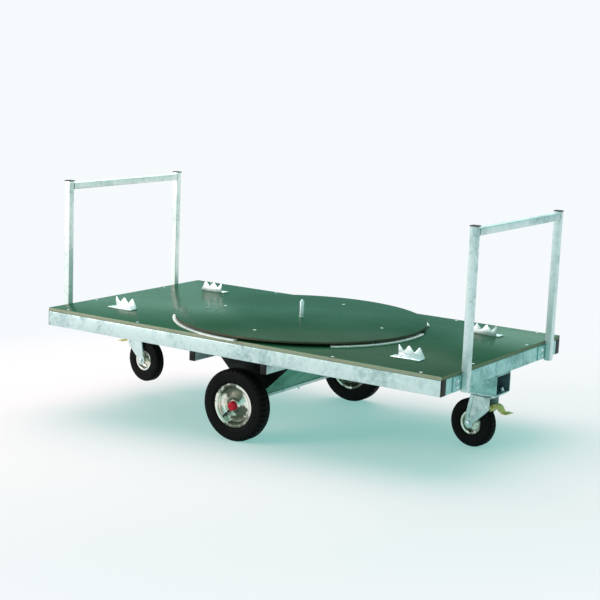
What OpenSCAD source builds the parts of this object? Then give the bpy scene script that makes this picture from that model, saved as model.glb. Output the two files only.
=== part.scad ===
// Platform truck with a turntable in its deck, two push frames and a diamond wheel layout.
// Units are millimetres. +Z is up, +X runs along the length, -Y is the near long side.
// The origin is on the floor, under the middle of the deck.

/* [Deck] */
// Length of the deck board along X
deck_length = 2000; // [1600:10:2400]
// Width of the deck board along Y
deck_width = 1100; // [800:10:1300]
// Height of the deck's top face above the floor
deck_height = 448; // [420:1:480]
// Thickness of the film-faced plywood
deck_thickness = 15; // [9:1:21]

/* [Frame] */
// Height of the side and end rails
rail_height = 65; // [50:1:90]
// Width of the side and end rails
rail_width = 40; // [30:1:60]
// Wall of the rail tube
rail_wall = 2.5; // [2:0.5:4]
// Width of the transverse beams along X
beam_width = 30; // [25:1:50]
// Height of the transverse beams
beam_height = 40; // [30:1:60]
// Distance of each transverse beam from the middle
beam_offset = 183; // [150:1:220]
// Width of the castor channel along Y
channel_width = 130; // [110:1:160]
// Height of the castor channel
channel_height = 85; // [70:1:100]
// Length of each castor channel along X
channel_length = 340; // [280:5:450]

/* [Turntable] */
// Radius of the turning disc
disc_radius = 558; // [450:1:560]
// Thickness of the turning disc
disc_thickness = 9; // [6:1:15]
// Outer radius of the steel edge ring on the deck
edge_ring_radius = 570; // [500:1:580]
// Width of the steel edge ring
edge_ring_width = 35; // [20:1:50]
// Radius of the circle of the disc's screws
disc_screw_circle = 400; // [300:1:450]
// Radius of the centre pin above the disc
pin_radius = 9.5; // [8:0.5:14]
// Height of the centre pin above the disc
pin_height = 76; // [50:1:100]

/* [Middle wheels] */
// Outer radius of the middle tyres
wheel_radius = 155; // [135:1:165]
// Width of the middle tyres
wheel_width = 70; // [60:1:95]
// Distance of each middle wheel's centre plane from the centreline
wheel_track_half = 470; // [450:1:490]
// Radius of the spindle the middle wheels turn on
spindle_radius = 10; // [8:0.5:13]

/* [Castors] */
// Outer radius of the castor tyres
castor_wheel_radius = 103; // [90:0.5:105]
// Height of the castor wheels above the floor while the truck is level, so that it can rock and turn on the spot
castor_lift = 38; // [0:1:40]
// Width of the castor tyres
castor_wheel_width = 50; // [40:1:60]
// Distance of each swivel axis from the middle of the truck
swivel_offset = 925; // [880:1:935]
// Distance the castor wheel trails behind its swivel axis
castor_trail = 54; // [35:1:60]
// Angle that the castors stand at, seen from above
castor_turn = -8; // [-20:1:20]

/* [Push frames] */
// Side of the square handle tube
handle_tube = 30; // [25:1:40]
// Wall of the handle tube
handle_wall = 2; // [1.5:0.5:3]
// Distance between the centres of the two posts of a frame
handle_span = 780; // [600:10:900]
// Sideways shift of each frame from the centreline
handle_shift = 14; // [0:1:30]
// Height of the top of the posts
handle_top = 1008; // [920:1:1100]

/* [Toothed brackets] */
// Distance between neighbouring teeth
tooth_pitch = 48; // [40:1:60]
// Height of the teeth above the deck
tooth_height = 47; // [35:1:60]
// Thickness of the bracket's steel
bracket_thickness = 4; // [3:0.5:6]

/* [Show] */
// Sub-part to build, or all of them

/* [Hidden] */
$fn = 64;

zinc = [0.72, 0.77, 0.78];
bright_zinc = [0.88, 0.90, 0.90];
yellow_zinc = [0.78, 0.66, 0.32];
rubber = [0.04, 0.04, 0.04];
plastic = [0.03, 0.03, 0.03];
film = [0.12, 0.20, 0.16];

half_length = deck_length / 2;
half_width = deck_width / 2;
rail_top = deck_height - deck_thickness;
rail_bottom = rail_top - rail_height;
plug_plate = 3;
beam_plug = 2;
beam_bottom = rail_bottom - beam_height;
channel_bottom = rail_bottom - channel_height;
channel_wall = 4;
channel_inner_end = half_length - channel_length;
bearer_width = 40;

// turntable levels
ring_thickness = 6;
ring_top = deck_height + ring_thickness;
disc_bottom = deck_height + 13;
disc_top = disc_bottom + disc_thickness;
journal_radius = 12;
running_gap = 0.05;
pin_stud_radius = 8;

// axle and trough
axle_z = wheel_radius;
axle_bar_width = 56;
axle_bar_bottom = axle_z + 4;
axle_bar_top = axle_bar_bottom + 12;
trough_half_length = 352;
trough_sheet = 4;
trough_top_x = beam_offset - beam_width / 2 - 2;
trough_low_x = axle_bar_width / 2 - 3;
axle_bar_end = 380;
spindle_start = 360;
hub_inner = 42;
hub_outer = 26;
hub_face = wheel_track_half + hub_outer;
spindle_end = hub_face + 12;
collar_start = wheel_track_half - hub_inner - 8;
rim_half = 30;
flange_radius = 95;
bead_radius = 84;
valve_offset = 18;

// castor levels
plate_thickness = 6;
plate_bottom = channel_bottom - plate_thickness;
race_bottom = plate_bottom - 10;
crown_top = race_bottom - 0.5;
crown_thickness = 5;
crown_bottom = crown_top - crown_thickness;
leg_inner = 32;
leg_sheet = 4;
bolt_x = 52.5;
bolt_y = 40;
kingpin_radius = 8;
castor_axle_radius = 6;
pedal_pin_x = 33;
castor_z = castor_wheel_radius + castor_lift;
pedal_pin_z = castor_z + 81.5;
pedal_pin_radius = 4;
bore_gap = 0.05;

// push frames
post_bottom = rail_bottom - 5;
cap_plate = 4;
crossbar_drop = 7;
lug_width = 68;
lug_sheet = 5;
lug_bolt_radius = 4;
lug_bolt_out = 40;
lug_bolt_z = [rail_bottom + 21, rail_bottom + 46];
post_near_y = handle_shift - handle_span / 2;
post_far_y = handle_shift + handle_span / 2;

screw_xs = [-900, -500, 500, 900];
screw_ys = [-half_width + 20, half_width - 20];
end_screw_ys = [-250, 250];
bracket_near_left_at = [-806, -316];
bracket_near_right_at = [685, -330];

// Box given by its low corner and size
module box(low, size) { translate(low) cube(size); }

// Rectangular tube along X from low corner, open at both ends
module tube_x(low, size, wall) {
  difference() {
    box(low, size);
    box([low[0] - 1, low[1] + wall, low[2] + wall], [size[0] + 2, size[1] - 2 * wall, size[2] - 2 * wall]);
  }
}

// Rectangular tube along Y
module tube_y(low, size, wall) {
  difference() {
    box(low, size);
    box([low[0] + wall, low[1] - 1, low[2] + wall], [size[0] - 2 * wall, size[1] + 2, size[2] - 2 * wall]);
  }
}

// Upright rod between two levels
module rod_z(x, y, z0, z1, r) { translate([x, y, z0]) cylinder(h = z1 - z0, r = r); }

// Rod along Y between two stations
module rod_y(x, z, y0, y1, r) { translate([x, y0, z]) rotate([-90, 0, 0]) cylinder(h = y1 - y0, r = r); }

// Rod along X between two stations
module rod_x(y, z, x0, x1, r) { translate([x0, y, z]) rotate([0, 90, 0]) cylinder(h = x1 - x0, r = r); }

// Same shapes turned half a turn about Z, for the left end
module half_turn() { rotate([0, 0, 180]) children(); }

// ---------------------------------------------------------------- deck

module deck_board() {
  color(film) difference() {
    box([-half_length, -half_width, rail_top], [deck_length, deck_width, deck_thickness]);
    rod_z(0, 0, rail_top - 1, deck_height + 1, pin_stud_radius + 0.1);
    deck_screw_places() { rod_z(0, 0, rail_top - 1, deck_height + 1, 3);
      translate([0, 0, deck_height - 4]) cylinder(h = 4.1, r1 = 3.2, r2 = 6.8); }
    bracket_screw_places() rod_z(0, 0, rail_top - 1, deck_height + 1, 3);
  }
}

module deck_screw_places() {
  for (x = screw_xs, y = screw_ys) translate([x, y, 0]) children();
  for (x = [-half_length + 20, half_length - 20], y = end_screw_ys) translate([x, y, 0]) children();
}

// Countersunk self-tapping screws, flush with the deck
module deck_screws() {
  color(bright_zinc) deck_screw_places() {
    difference() {
      union() {
        rod_z(0, 0, rail_top - 8, deck_height - 3.5, 2.9);
        translate([0, 0, deck_height - 4]) cylinder(h = 3.7, r1 = 2.9, r2 = 6.3);
      }
      box([-3, -0.6, deck_height - 1.5], [6, 1.2, 3]);
      box([-0.6, -3, deck_height - 1.5], [1.2, 6, 3]);
    }
  }
}

// ---------------------------------------------------------------- frame

module side_rail(y0) {
  length = deck_length - 2 * plug_plate;
  difference() {
    tube_x([-length / 2, y0, rail_bottom], [length, rail_width, rail_height], rail_wall);
    deck_screw_places() rod_z(0, 0, rail_top - rail_wall - 1, rail_top + 1, 3);
  }
}
module side_rail_near() { color(zinc) side_rail(-half_width); }
module side_rail_far() { color(zinc) side_rail(half_width - rail_width); }

module end_rail_right() {
  color(zinc) difference() {
    tube_y([half_length - rail_width, -half_width + rail_width, rail_bottom],
      [rail_width, deck_width - 2 * rail_width, rail_height], rail_wall);
    for (y = end_screw_ys) rod_z(half_length - 20, y, rail_top - rail_wall - 1, rail_top + 1, 3);
    lug_bolt_places() rod_x(0, 0, -rail_width - 1, 1, lug_bolt_radius + 0.1);
  }
}
module end_rail_left() { half_turn() end_rail_right(); }

// Two bearers between the side rails that carry the inner ends of the castor channels
module inner_bearers() {
  color(zinc) for (s = [-1, 1])
    tube_y([s * (channel_inner_end + bearer_width / 2 + 10) - bearer_width / 2, -half_width + rail_width,
      rail_bottom], [bearer_width, deck_width - 2 * rail_width, rail_height], rail_wall);
}

// Two beams across the underside of the side rails
module cross_beams() {
  color(zinc) for (s = [-1, 1])
    tube_y([s * beam_offset - beam_width / 2, -half_width + beam_plug, beam_bottom],
      [beam_width, deck_width - 2 * beam_plug, beam_height], 2.5);
}

// Black push-in plugs in the ends of the side rails and the transverse beams
module tube_plugs() {
  color(plastic) {
    for (s = [-1, 1], y0 = [-half_width, half_width - rail_width]) {
      xp = s > 0 ? half_length - plug_plate : -half_length;
      xi = s > 0 ? half_length - plug_plate - 14 : -half_length + plug_plate;
      difference() {
        union() {
          box([xp, y0, rail_bottom], [plug_plate, rail_width, rail_height]);
          box([xi, y0 + rail_wall + 0.2, rail_bottom + rail_wall + 0.2],
            [14, rail_width - 2 * rail_wall - 0.4, rail_height - 2 * rail_wall - 0.4]);
        }
        box([s > 0 ? xi - 1 : xi + 3, y0 + rail_wall + 3, rail_bottom + rail_wall + 3],
          [12, rail_width - 2 * rail_wall - 6, rail_height - 2 * rail_wall - 6]);
      }
    }
    for (x = [-beam_offset, beam_offset], s = [-1, 1]) {
      yp = s > 0 ? half_width - beam_plug : -half_width;
      yi = s > 0 ? half_width - beam_plug - 12 : -half_width + beam_plug;
      box([x - beam_width / 2, yp, beam_bottom], [beam_width, beam_plug, beam_height]);
      box([x - beam_width / 2 + 2.7, yi, beam_bottom + 2.7], [beam_width - 5.4, 12, beam_height - 5.4]);
    }
  }
}

// Box channel under one end; the castor is bolted to its floor
module castor_channel_right() {
  color(zinc) difference() {
    tube_x([channel_inner_end, -channel_width / 2, channel_bottom],
      [channel_length, channel_width, channel_height], channel_wall);
    for (x = [-bolt_x, bolt_x], y = [-bolt_y, bolt_y])
      rod_z(swivel_offset + x, y, channel_bottom - 1, channel_bottom + channel_wall + 1, 5.2);
    rod_z(swivel_offset, 0, channel_bottom - 1, channel_bottom + channel_wall + 1, 15);
  }
}
module castor_channel_left() { half_turn() castor_channel_right(); }

// ---------------------------------------------------------------- axle trough

// One sloping plate of the V, from a beam down to the axle bar
module trough_plate_right() {
  top_z = beam_bottom;
  low_z = axle_bar_top;
  color(zinc) translate([0, trough_half_length, 0]) rotate([90, 0, 0])
    linear_extrude(height = 2 * trough_half_length)
      polygon([[trough_low_x - trough_sheet, low_z], [trough_low_x + 1, low_z], [trough_top_x + 18, top_z - trough_sheet],
        [trough_top_x + 24, top_z - trough_sheet], [trough_top_x + 24, top_z], [trough_top_x - 6, top_z],
        [trough_top_x - 6, top_z - 22]]);
}
module trough_plate_left() { half_turn() trough_plate_right(); }

// Plates that close the two ends of the V
module trough_ends() {
  low_z = axle_bar_top;
  color(zinc) for (y0 = [-trough_half_length - 0.2 - trough_sheet, trough_half_length + 0.2])
    translate([0, y0 + trough_sheet, 0]) rotate([90, 0, 0]) linear_extrude(height = trough_sheet)
      polygon([[-trough_low_x, low_z], [trough_low_x, low_z], [trough_top_x + 22, beam_bottom],
        [-trough_top_x - 22, beam_bottom]]);
}

// Flat bar with a round spindle let into the underside of each end
module axle() {
  color(zinc) {
    box([-axle_bar_width / 2, -axle_bar_end, axle_bar_bottom],
      [axle_bar_width, 2 * axle_bar_end, axle_bar_top - axle_bar_bottom]);
    rod_y(0, axle_z, spindle_start, spindle_end, spindle_radius);
    rod_y(0, axle_z, -spindle_end, -spindle_start, spindle_radius);
  }
}

// Bolt that hangs below the middle of the axle bar
module axle_bolt() {
  low = axle_bar_bottom;
  color(zinc) {
    translate([0, 0, low - 7]) cylinder(h = 6.8, r = 8.7, $fn = 6);
    rod_z(0, 0, low - 20, low - 0.2, 5);
  }
}

// Spacer collars between the spindle shoulders and the wheel hubs
module spindle_collars() {
  color(zinc) for (s = [-1, 1]) difference() {
    rod_y(0, axle_z, s > 0 ? collar_start : -collar_start - 7.5, s > 0 ? collar_start + 7.5 : -collar_start, 16);
    rod_y(0, axle_z, -spindle_end, spindle_end, spindle_radius + 0.1);
  }
}

// Hexagon nuts on the spindle ends, inside the red caps
module spindle_nuts() {
  color(zinc) for (s = [-1, 1]) difference() {
    translate([0, s > 0 ? hub_face + 0.5 : -hub_face - 10.5, axle_z]) rotate([-90, 0, 0]) cylinder(h = 10, r = 16.2, $fn = 6);
    rod_y(0, axle_z, -spindle_end - 1, spindle_end + 1, spindle_radius + 0.1);
  }
}

// ---------------------------------------------------------------- middle wheels

// Ring turned about the wheel axis; the outline is [radius, distance from the centre plane]
module turned_y(y, z, outline) {
  translate([0, y, z]) rotate([-90, 0, 0]) rotate_extrude($fn = 96) polygon(outline);
}

// Pressed steel rim with hub; the dish opens toward the outside, s = +1 faces +Y
module wheel_rim(s) {
  difference() {
    turned_y(s * wheel_track_half, axle_z, [for (p = [
      [spindle_radius + bore_gap, -hub_inner], [19, -hub_inner], [24, -hub_inner + 4], [24, -6], [58, 0], [72, -4],
      [bead_radius - 3, -14], [bead_radius - 3, -rim_half], [flange_radius, -rim_half], [flange_radius, -rim_half + 3],
      [bead_radius + 3, -rim_half + 3.4], [bead_radius, -rim_half + 7], [bead_radius, rim_half - 7],
      [bead_radius + 3, rim_half - 3.4], [flange_radius, rim_half - 3], [flange_radius, rim_half],
      [bead_radius - 3, rim_half], [bead_radius - 5, rim_half - 4], [74, 8], [58, 6], [32, 14], [24, 20],
      [19, hub_outer], [spindle_radius + bore_gap, hub_outer]
    ]) [p[0], s * p[1]]]);
    rod_y(52 * cos(12), axle_z + 52 * sin(12), s * wheel_track_half - 40, s * wheel_track_half + 40, 4);
    rod_y(-46 * cos(12), axle_z + 46 * sin(55), s * wheel_track_half - 40, s * wheel_track_half + 40, 4);
    valve_place(s) translate([-bead_radius - 2, 0, 0]) rotate([0, 90, 0]) cylinder(h = 14, r = 4.05);
  }
}
module wheel_rim_near() { color(bright_zinc) wheel_rim(-1); }
module wheel_rim_far() { color(bright_zinc) wheel_rim(1); }

// Outside half of the tyre's section, from bead to tread, as radius and distance from the centre plane
function tyre_section(r, w) = [
  [bead_radius + 0.3, rim_half - 7.4], [bead_radius + 3, rim_half - 3.8], [flange_radius + 0.4, rim_half - 3.4],
  [flange_radius + 3, rim_half], [108, w - 1.2], [124, w], [139, w - 1.2], [148.5, w - 5], [r - 1.8, w - 11],
  [r, w - 16.5], [r, 13.5], [r - 3, 12.5], [r - 3, 9.5], [r, 8.5], [r, 2.5], [r - 3, 1.5]];

// Pneumatic tyre with a ribbed tread
module wheel_tyre(s) {
  half = tyre_section(wheel_radius, wheel_width / 2);
  turned_y(s * wheel_track_half, axle_z,
    concat([for (p = half) [p[0], -p[1]]], [for (k = [len(half) - 1:-1:0]) half[k]]));
}
module wheel_tyre_near() { color(rubber) wheel_tyre(-1); }
module wheel_tyre_far() { color(rubber) wheel_tyre(1); }

// Red dust cap over the hub's outer end
module hub_cap(s) {
  turned_y(s * hub_face, axle_z, [for (p = [
    [18, 0.2], [20.5, 0.2], [20.5, 15], [19, 18], [15, 20], [0, 21], [0, 19], [14, 18], [18, 15]
  ]) [p[0], s * p[1]]]);
}
module hub_cap_near() { color([0.78, 0.06, 0.10]) hub_cap(-1); }
module hub_cap_far() { color([0.78, 0.06, 0.10]) hub_cap(1); }

// Frame of a valve: its stem lies along X, pointing to the hub from -X
module valve_place(s) {
  translate([0, s * (wheel_track_half + valve_offset), axle_z]) rotate([0, s < 0 ? 315 : 225, 0]) children();
}

// Tube valve with a cap, standing out of the rim's dish
module valve(s) {
  valve_place(s) rotate([0, 90, 0]) {
    translate([0, 0, -bead_radius + 2]) cylinder(h = bead_radius - 56.5, r = 4);
    translate([0, 0, -55]) cylinder(h = 12, r = 3);
    translate([0, 0, -45]) cylinder(h = 9, r = 4);
  }
}
module valve_near() { color(plastic) valve(-1); }
module valve_far() { color(plastic) valve(1); }

// ---------------------------------------------------------------- turntable

// Steel ring on the deck under the disc's rim, in four segments with gaps between them
module edge_ring() {
  color(bright_zinc) difference() {
    translate([0, 0, deck_height]) cylinder(h = ring_thickness, r = edge_ring_radius, $fn = 144);
    translate([0, 0, deck_height - 1]) cylinder(h = ring_thickness + 2, r = edge_ring_radius - edge_ring_width, $fn = 144);
    for (gap = [[12, 32], [94, 136], [192, 212], [274, 316]])
      translate([0, 0, deck_height - 1]) linear_extrude(height = ring_thickness + 2)
        polygon([[0, 0], [800 * cos(gap[0]), 800 * sin(gap[0])], [800 * cos(gap[1]), 800 * sin(gap[1])]]);
  }
}

module bearing_ring(z0) {
  difference() {
    translate([0, 0, z0]) cylinder(h = 6, r = disc_screw_circle + 20, $fn = 96);
    translate([0, 0, z0 - 1]) cylinder(h = 8, r = disc_screw_circle - 20, $fn = 96);
    if (z0 > deck_height + 1) disc_screw_places() rod_z(0, 0, z0 - 1, z0 + 8, 3);
  }
}
module bearing_ring_lower() { color(zinc) bearing_ring(deck_height); }
module bearing_ring_upper() { color(zinc) bearing_ring(disc_bottom - 6); }

module disc_screw_places() {
  for (k = [0:3]) rotate([0, 0, 4 + 90 * k]) translate([disc_screw_circle, 0, 0]) children();
}

module turntable_disc() {
  color(film) difference() {
    translate([0, 0, disc_bottom]) cylinder(h = disc_thickness, r = disc_radius, $fn = 144);
    rod_z(0, 0, disc_bottom - 1, disc_top + 1, journal_radius + running_gap);
    disc_screw_places() { rod_z(0, 0, disc_bottom - 1, disc_top + 1, 3.2);
      translate([0, 0, disc_top - 4.5]) cylinder(h = 4.6, r1 = 3.2, r2 = 7.6); }
  }
}

// Four countersunk screws through the disc into the upper bearing ring, just below its face
module disc_screws() {
  color(bright_zinc) disc_screw_places() difference() {
    union() {
      rod_z(0, 0, disc_bottom - 5.5, disc_top - 3.5, 2.9);
      translate([0, 0, disc_top - 4.5]) cylinder(h = 4.4, r1 = 2.9, r2 = 7.2);
    }
    box([-5, -0.6, disc_top - 1.6], [10, 1.2, 3]);
  }
}

// Fixed centre pin: stud in the deck, journal in the disc, round pin above, pointed top
module pivot_pin() {
  color(bright_zinc) {
    rod_z(0, 0, rail_top - 20, deck_height + 1, pin_stud_radius);
    rod_z(0, 0, deck_height, deck_height + 4, 26);
    rod_z(0, 0, deck_height + 3, disc_top, journal_radius);
    rod_z(0, 0, disc_top, disc_top + pin_height - 12, pin_radius);
    translate([0, 0, disc_top + pin_height - 12]) cylinder(h = 12, r1 = pin_radius, r2 = 3.5);
  }
}

// Washer and nut that clamp the pin from below
module pivot_nut() {
  color(zinc) difference() {
    union() {
      rod_z(0, 0, rail_top - 4, rail_top, 28);
      translate([0, 0, rail_top - 17]) cylinder(h = 13, r = 13.8, $fn = 6);
    }
    rod_z(0, 0, rail_top - 30, rail_top + 1, pin_stud_radius + 0.1);
  }
}

// ---------------------------------------------------------------- toothed brackets

// Angle bracket with three teeth; the flange points to -Y, the first tooth is cut square
module toothed_bracket() {
  p = tooth_pitch;
  h = tooth_height;
  t = bracket_thickness;
  difference() {
    union() {
      translate([0, t, deck_height]) rotate([90, 0, 0]) linear_extrude(height = t)
        polygon([[0, 0], [2.5 * p, 0], [2.5 * p, 8], [2 * p + 2, h], [2 * p - 2, h], [1.5 * p, h * 0.5], [p + 2, h],
          [p - 2, h], [0.5 * p, h * 0.5], [3, h], [0, h]]);
      box([-14, -40, deck_height], [2.5 * p + 12, 41, t]);
    }
    for (x = [22, 84]) rod_z(x, -22, deck_height - 1, deck_height + t + 1, 3.2);
  }
}
module place_brackets() {
  for (a = [0, 180]) rotate([0, 0, a]) {
    translate([bracket_near_left_at[0], bracket_near_left_at[1], 0]) children();
    translate([bracket_near_right_at[0], bracket_near_right_at[1], 0]) children();
  }
}
module bracket_near_left() { color(bright_zinc) translate([bracket_near_left_at[0], bracket_near_left_at[1], 0]) toothed_bracket(); }
module bracket_near_right() { color(bright_zinc) translate([bracket_near_right_at[0], bracket_near_right_at[1], 0]) toothed_bracket(); }
module bracket_far_right() { half_turn() bracket_near_left(); }
module bracket_far_left() { half_turn() bracket_near_right(); }

module bracket_screw_places() { place_brackets() for (x = [22, 84]) translate([x, -22, 0]) children(); }

module bracket_screws() {
  color(bright_zinc) bracket_screw_places() difference() {
    union() {
      rod_z(0, 0, rail_top + 1, deck_height + bracket_thickness + 1, 2.9);
      translate([0, 0, deck_height + bracket_thickness]) cylinder(h = 3.4, r1 = 6.5, r2 = 4);
    }
    box([-4, -0.6, deck_height + bracket_thickness + 2], [8, 1.2, 3]);
  }
}

// ---------------------------------------------------------------- push frames

// Square post standing on the outer face of the right end rail
module post_right(y) {
  t = handle_tube;
  difference() {
    box([half_length, y - t / 2, post_bottom], [t, t, handle_top - post_bottom]);
    box([half_length + handle_wall, y - t / 2 + handle_wall, post_bottom - 1],
      [t - 2 * handle_wall, t - 2 * handle_wall, handle_top - post_bottom + 2]);
  }
}
module post_right_near() { color(zinc) post_right(post_near_y); }
module post_right_far() { color(zinc) post_right(post_far_y); }
module post_left_near() { color(zinc) half_turn() post_right(post_far_y); }
module post_left_far() { color(zinc) half_turn() post_right(post_near_y); }

// Crossbar between the two posts, just below their tops
module crossbar_right() {
  t = handle_tube;
  color(zinc) tube_y([half_length, post_near_y + t / 2, handle_top - crossbar_drop - t],
    [t, handle_span - t, t], handle_wall);
}
module crossbar_left() { half_turn() crossbar_right(); }

// Black caps pushed into the tops of the four posts
module handle_caps() {
  t = handle_tube;
  color(plastic) for (a = [0, 180], y = [post_near_y, post_far_y]) rotate([0, 0, a]) {
    box([half_length - 2, y - t / 2 - 2, handle_top], [t + 4, t + 4, cap_plate]);
    box([half_length + handle_wall + 0.2, y - t / 2 + handle_wall + 0.2, handle_top - 12],
      [t - 2 * handle_wall - 0.4, t - 2 * handle_wall - 0.4, 12.5]);
  }
}

// Places of the lug bolts; the children lie along X with the rail's outer face at zero
module lug_bolt_places() {
  for (y = [post_near_y, post_far_y], z = lug_bolt_z)
    translate([half_length, y - handle_tube / 2 - lug_bolt_out, z]) children();
}

// Flat lugs welded to the posts and bolted to the end rails
module handle_lugs() {
  color(zinc) for (a = [0, 180]) rotate([0, 0, a]) difference() {
    for (y = [post_near_y, post_far_y])
      box([half_length, y - handle_tube / 2 - lug_width, rail_bottom + 3], [lug_sheet, lug_width, rail_height - 6]);
    lug_bolt_places() rod_x(0, 0, -1, lug_sheet + 1, lug_bolt_radius + 0.1);
  }
}

// Hexagon bolts through the lugs and end rails, with washers and nuts
module handle_bolts() {
  color(bright_zinc) for (a = [0, 180]) rotate([0, 0, a]) lug_bolt_places() {
    rod_x(0, 0, -rail_width - 10, lug_sheet + 2, lug_bolt_radius);
    rod_x(0, 0, lug_sheet, lug_sheet + 1.6, 8.5);
    translate([lug_sheet + 1.6, 0, 0]) rotate([0, 90, 0]) cylinder(h = 5.3, r = 7.5, $fn = 6);
    translate([-rail_width - 6.5, 0, 0]) rotate([0, 90, 0]) cylinder(h = 6.5, r = 7.5, $fn = 6);
  }
}

// ---------------------------------------------------------------- castors

// Turns a castor's moving parts about its swivel axis, to the angle it stands at
module swivelled() { translate([swivel_offset, 0, 0]) rotate([0, 0, castor_turn]) translate([-swivel_offset, 0, 0]) children(); }

// Top plate with its fixed bearing race
module castor_plates() {
  color(zinc) for (a = [0, 180]) rotate([0, 0, a]) difference() {
    union() {
      box([swivel_offset - 70, -57, plate_bottom], [140, 114, plate_thickness]);
      translate([swivel_offset, 0, race_bottom]) cylinder(h = 10.5, r1 = 38, r2 = 46);
    }
    rod_z(swivel_offset, 0, race_bottom - 1, channel_bottom + 1, kingpin_radius + 0.1);
    for (x = [-bolt_x, bolt_x], y = [-bolt_y, bolt_y])
      rod_z(swivel_offset + x, y, plate_bottom - 20, channel_bottom + 1, 5.2);
  }
}

// Bolts that hold the castor plates to the channel floors, heads below, nuts above
module castor_bolts() {
  color(bright_zinc) for (a = [0, 180], x = [-bolt_x, bolt_x], y = [-bolt_y, bolt_y])
    rotate([0, 0, a]) translate([swivel_offset + x, y, 0]) {
      rod_z(0, 0, plate_bottom - 3, channel_bottom + channel_wall + 14, 5);
      translate([0, 0, plate_bottom - 6.4]) cylinder(h = 6.4, r = 9, $fn = 6);
      translate([0, 0, channel_bottom + channel_wall]) cylinder(h = 8, r = 9, $fn = 6);
    }
}

// Kingpins: head above the plate, nut below the fork's crown
module kingpins() {
  color(zinc) for (a = [0, 180]) rotate([0, 0, a]) {
    translate([swivel_offset, 0, channel_bottom]) cylinder(h = 9, r = 13, $fn = 6);
    rod_z(swivel_offset, 0, crown_bottom - 12, channel_bottom + 1, kingpin_radius);
    translate([swivel_offset, 0, crown_bottom - 10.5]) cylinder(h = 10, r = 13, $fn = 6);
  }
}

// Pressed fork: crown plate and two sloping legs with a raised rear edge
module fork_right() {
  wx = swivel_offset - castor_trail;
  wz = castor_z;
  color(zinc) swivelled() difference() {
    union() {
      box([swivel_offset - 50, -leg_inner - leg_sheet, crown_bottom], [92, 2 * (leg_inner + leg_sheet), crown_thickness]);
      for (s = [-1, 1]) {
        translate([0, s > 0 ? leg_inner + leg_sheet : -leg_inner, 0]) rotate([90, 0, 0])
          linear_extrude(height = leg_sheet) polygon([
            [swivel_offset - 50, crown_top], [swivel_offset - 68, wz + 42], [wx - 21, wz + 2], [wx - 14, wz - 16], [wx, wz - 22],
            [wx + 14, wz - 16], [wx + 22, wz + 4], [swivel_offset + 42, pedal_pin_z - 8], [swivel_offset + 42, crown_top]]);
        translate([0, s > 0 ? leg_inner + leg_sheet + 4 : -leg_inner - leg_sheet + 0.5, 0]) rotate([90, 0, 0])
          linear_extrude(height = 4.5) polygon([
            [swivel_offset - 50, crown_top], [swivel_offset - 68, wz + 42], [swivel_offset - 67, wz + 22],
            [swivel_offset - 49, wz + 22], [swivel_offset - 50, wz + 42], [swivel_offset - 33, crown_top]]);
      }
    }
    rod_z(swivel_offset, 0, crown_bottom - 1, crown_top + 1, kingpin_radius + bore_gap);
    rod_y(wx, wz, -60, 60, castor_axle_radius + 0.1);
    rod_y(swivel_offset + pedal_pin_x, pedal_pin_z, -60, 60, pedal_pin_radius + 0.1);
  }
}
module fork_left() { half_turn() fork_right(); }

// Castor axle bolt with its nut and spacers, and the pin the brake pedal turns on
module fork_pins_right() {
  wx = swivel_offset - castor_trail;
  wz = castor_z;
  out = leg_inner + leg_sheet;
  color(bright_zinc) swivelled() {
    rod_y(wx, wz, -out - 2, out + 9, castor_axle_radius);
    translate([wx, -out - 7.5, wz]) rotate([-90, 0, 0]) cylinder(h = 7.3, r = 10.4, $fn = 6);
    translate([wx, out + 0.2, wz]) rotate([-90, 0, 0]) cylinder(h = 7.5, r = 10.4, $fn = 6);
    rod_y(wx, wz, -leg_inner, -28.5, 11);
    rod_y(wx, wz, 28.5, leg_inner, 11);
    rod_y(swivel_offset + pedal_pin_x, pedal_pin_z, -out - 3, out + 3, pedal_pin_radius);
    rod_y(swivel_offset + pedal_pin_x, pedal_pin_z, -out - 3, -out - 0.2, 6.5);
    rod_y(swivel_offset + pedal_pin_x, pedal_pin_z, out + 0.2, out + 3, 6.5);
  }
}
module fork_pins_left() { half_turn() fork_pins_right(); }

// Two-piece castor rim with hub
module castor_rim_right() {
  color(bright_zinc) swivelled() translate([swivel_offset - castor_trail, 0, castor_z]) rotate([-90, 0, 0])
    rotate_extrude($fn = 72) polygon([
      [castor_axle_radius + bore_gap, -28], [15, -28], [17, -8], [36, -5], [39, -19], [50, -21.4], [50, -18.8],
      [44, -17.4], [43, -14], [43, 14], [44, 17.4], [50, 18.8], [50, 21.4], [39, 19], [36, 5], [17, 8], [15, 28],
      [castor_axle_radius + bore_gap, 28]]);
}
module castor_rim_left() { half_turn() castor_rim_right(); }

// Castor tyre with two grooves
module castor_tyre_right() {
  r = castor_wheel_radius;
  w = castor_wheel_width / 2;
  color(rubber) swivelled() translate([swivel_offset - castor_trail, 0, castor_z]) rotate([-90, 0, 0])
    rotate_extrude($fn = 96) polygon([
      [43.3, -13.8], [44.4, -17], [50.4, -18.4], [52, -20.4], [60, -23.4], [74, -w], [87, -23.6], [94.8, -19.6], [r - 1.9, -13.6],
      [r, -8], [r, -6], [r - 2.5, -5], [r - 2.5, -3], [r, -2], [r, 2], [r - 2.5, 3], [r - 2.5, 5], [r, 6], [r, 8],
      [r - 1.9, 13.6], [94.8, 19.6], [87, 23.6], [74, w], [60, 23.4], [52, 20.4], [50.4, 18.4], [44.4, 17], [43.3, 13.8]]);
}
module castor_tyre_left() { half_turn() castor_tyre_right(); }

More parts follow.
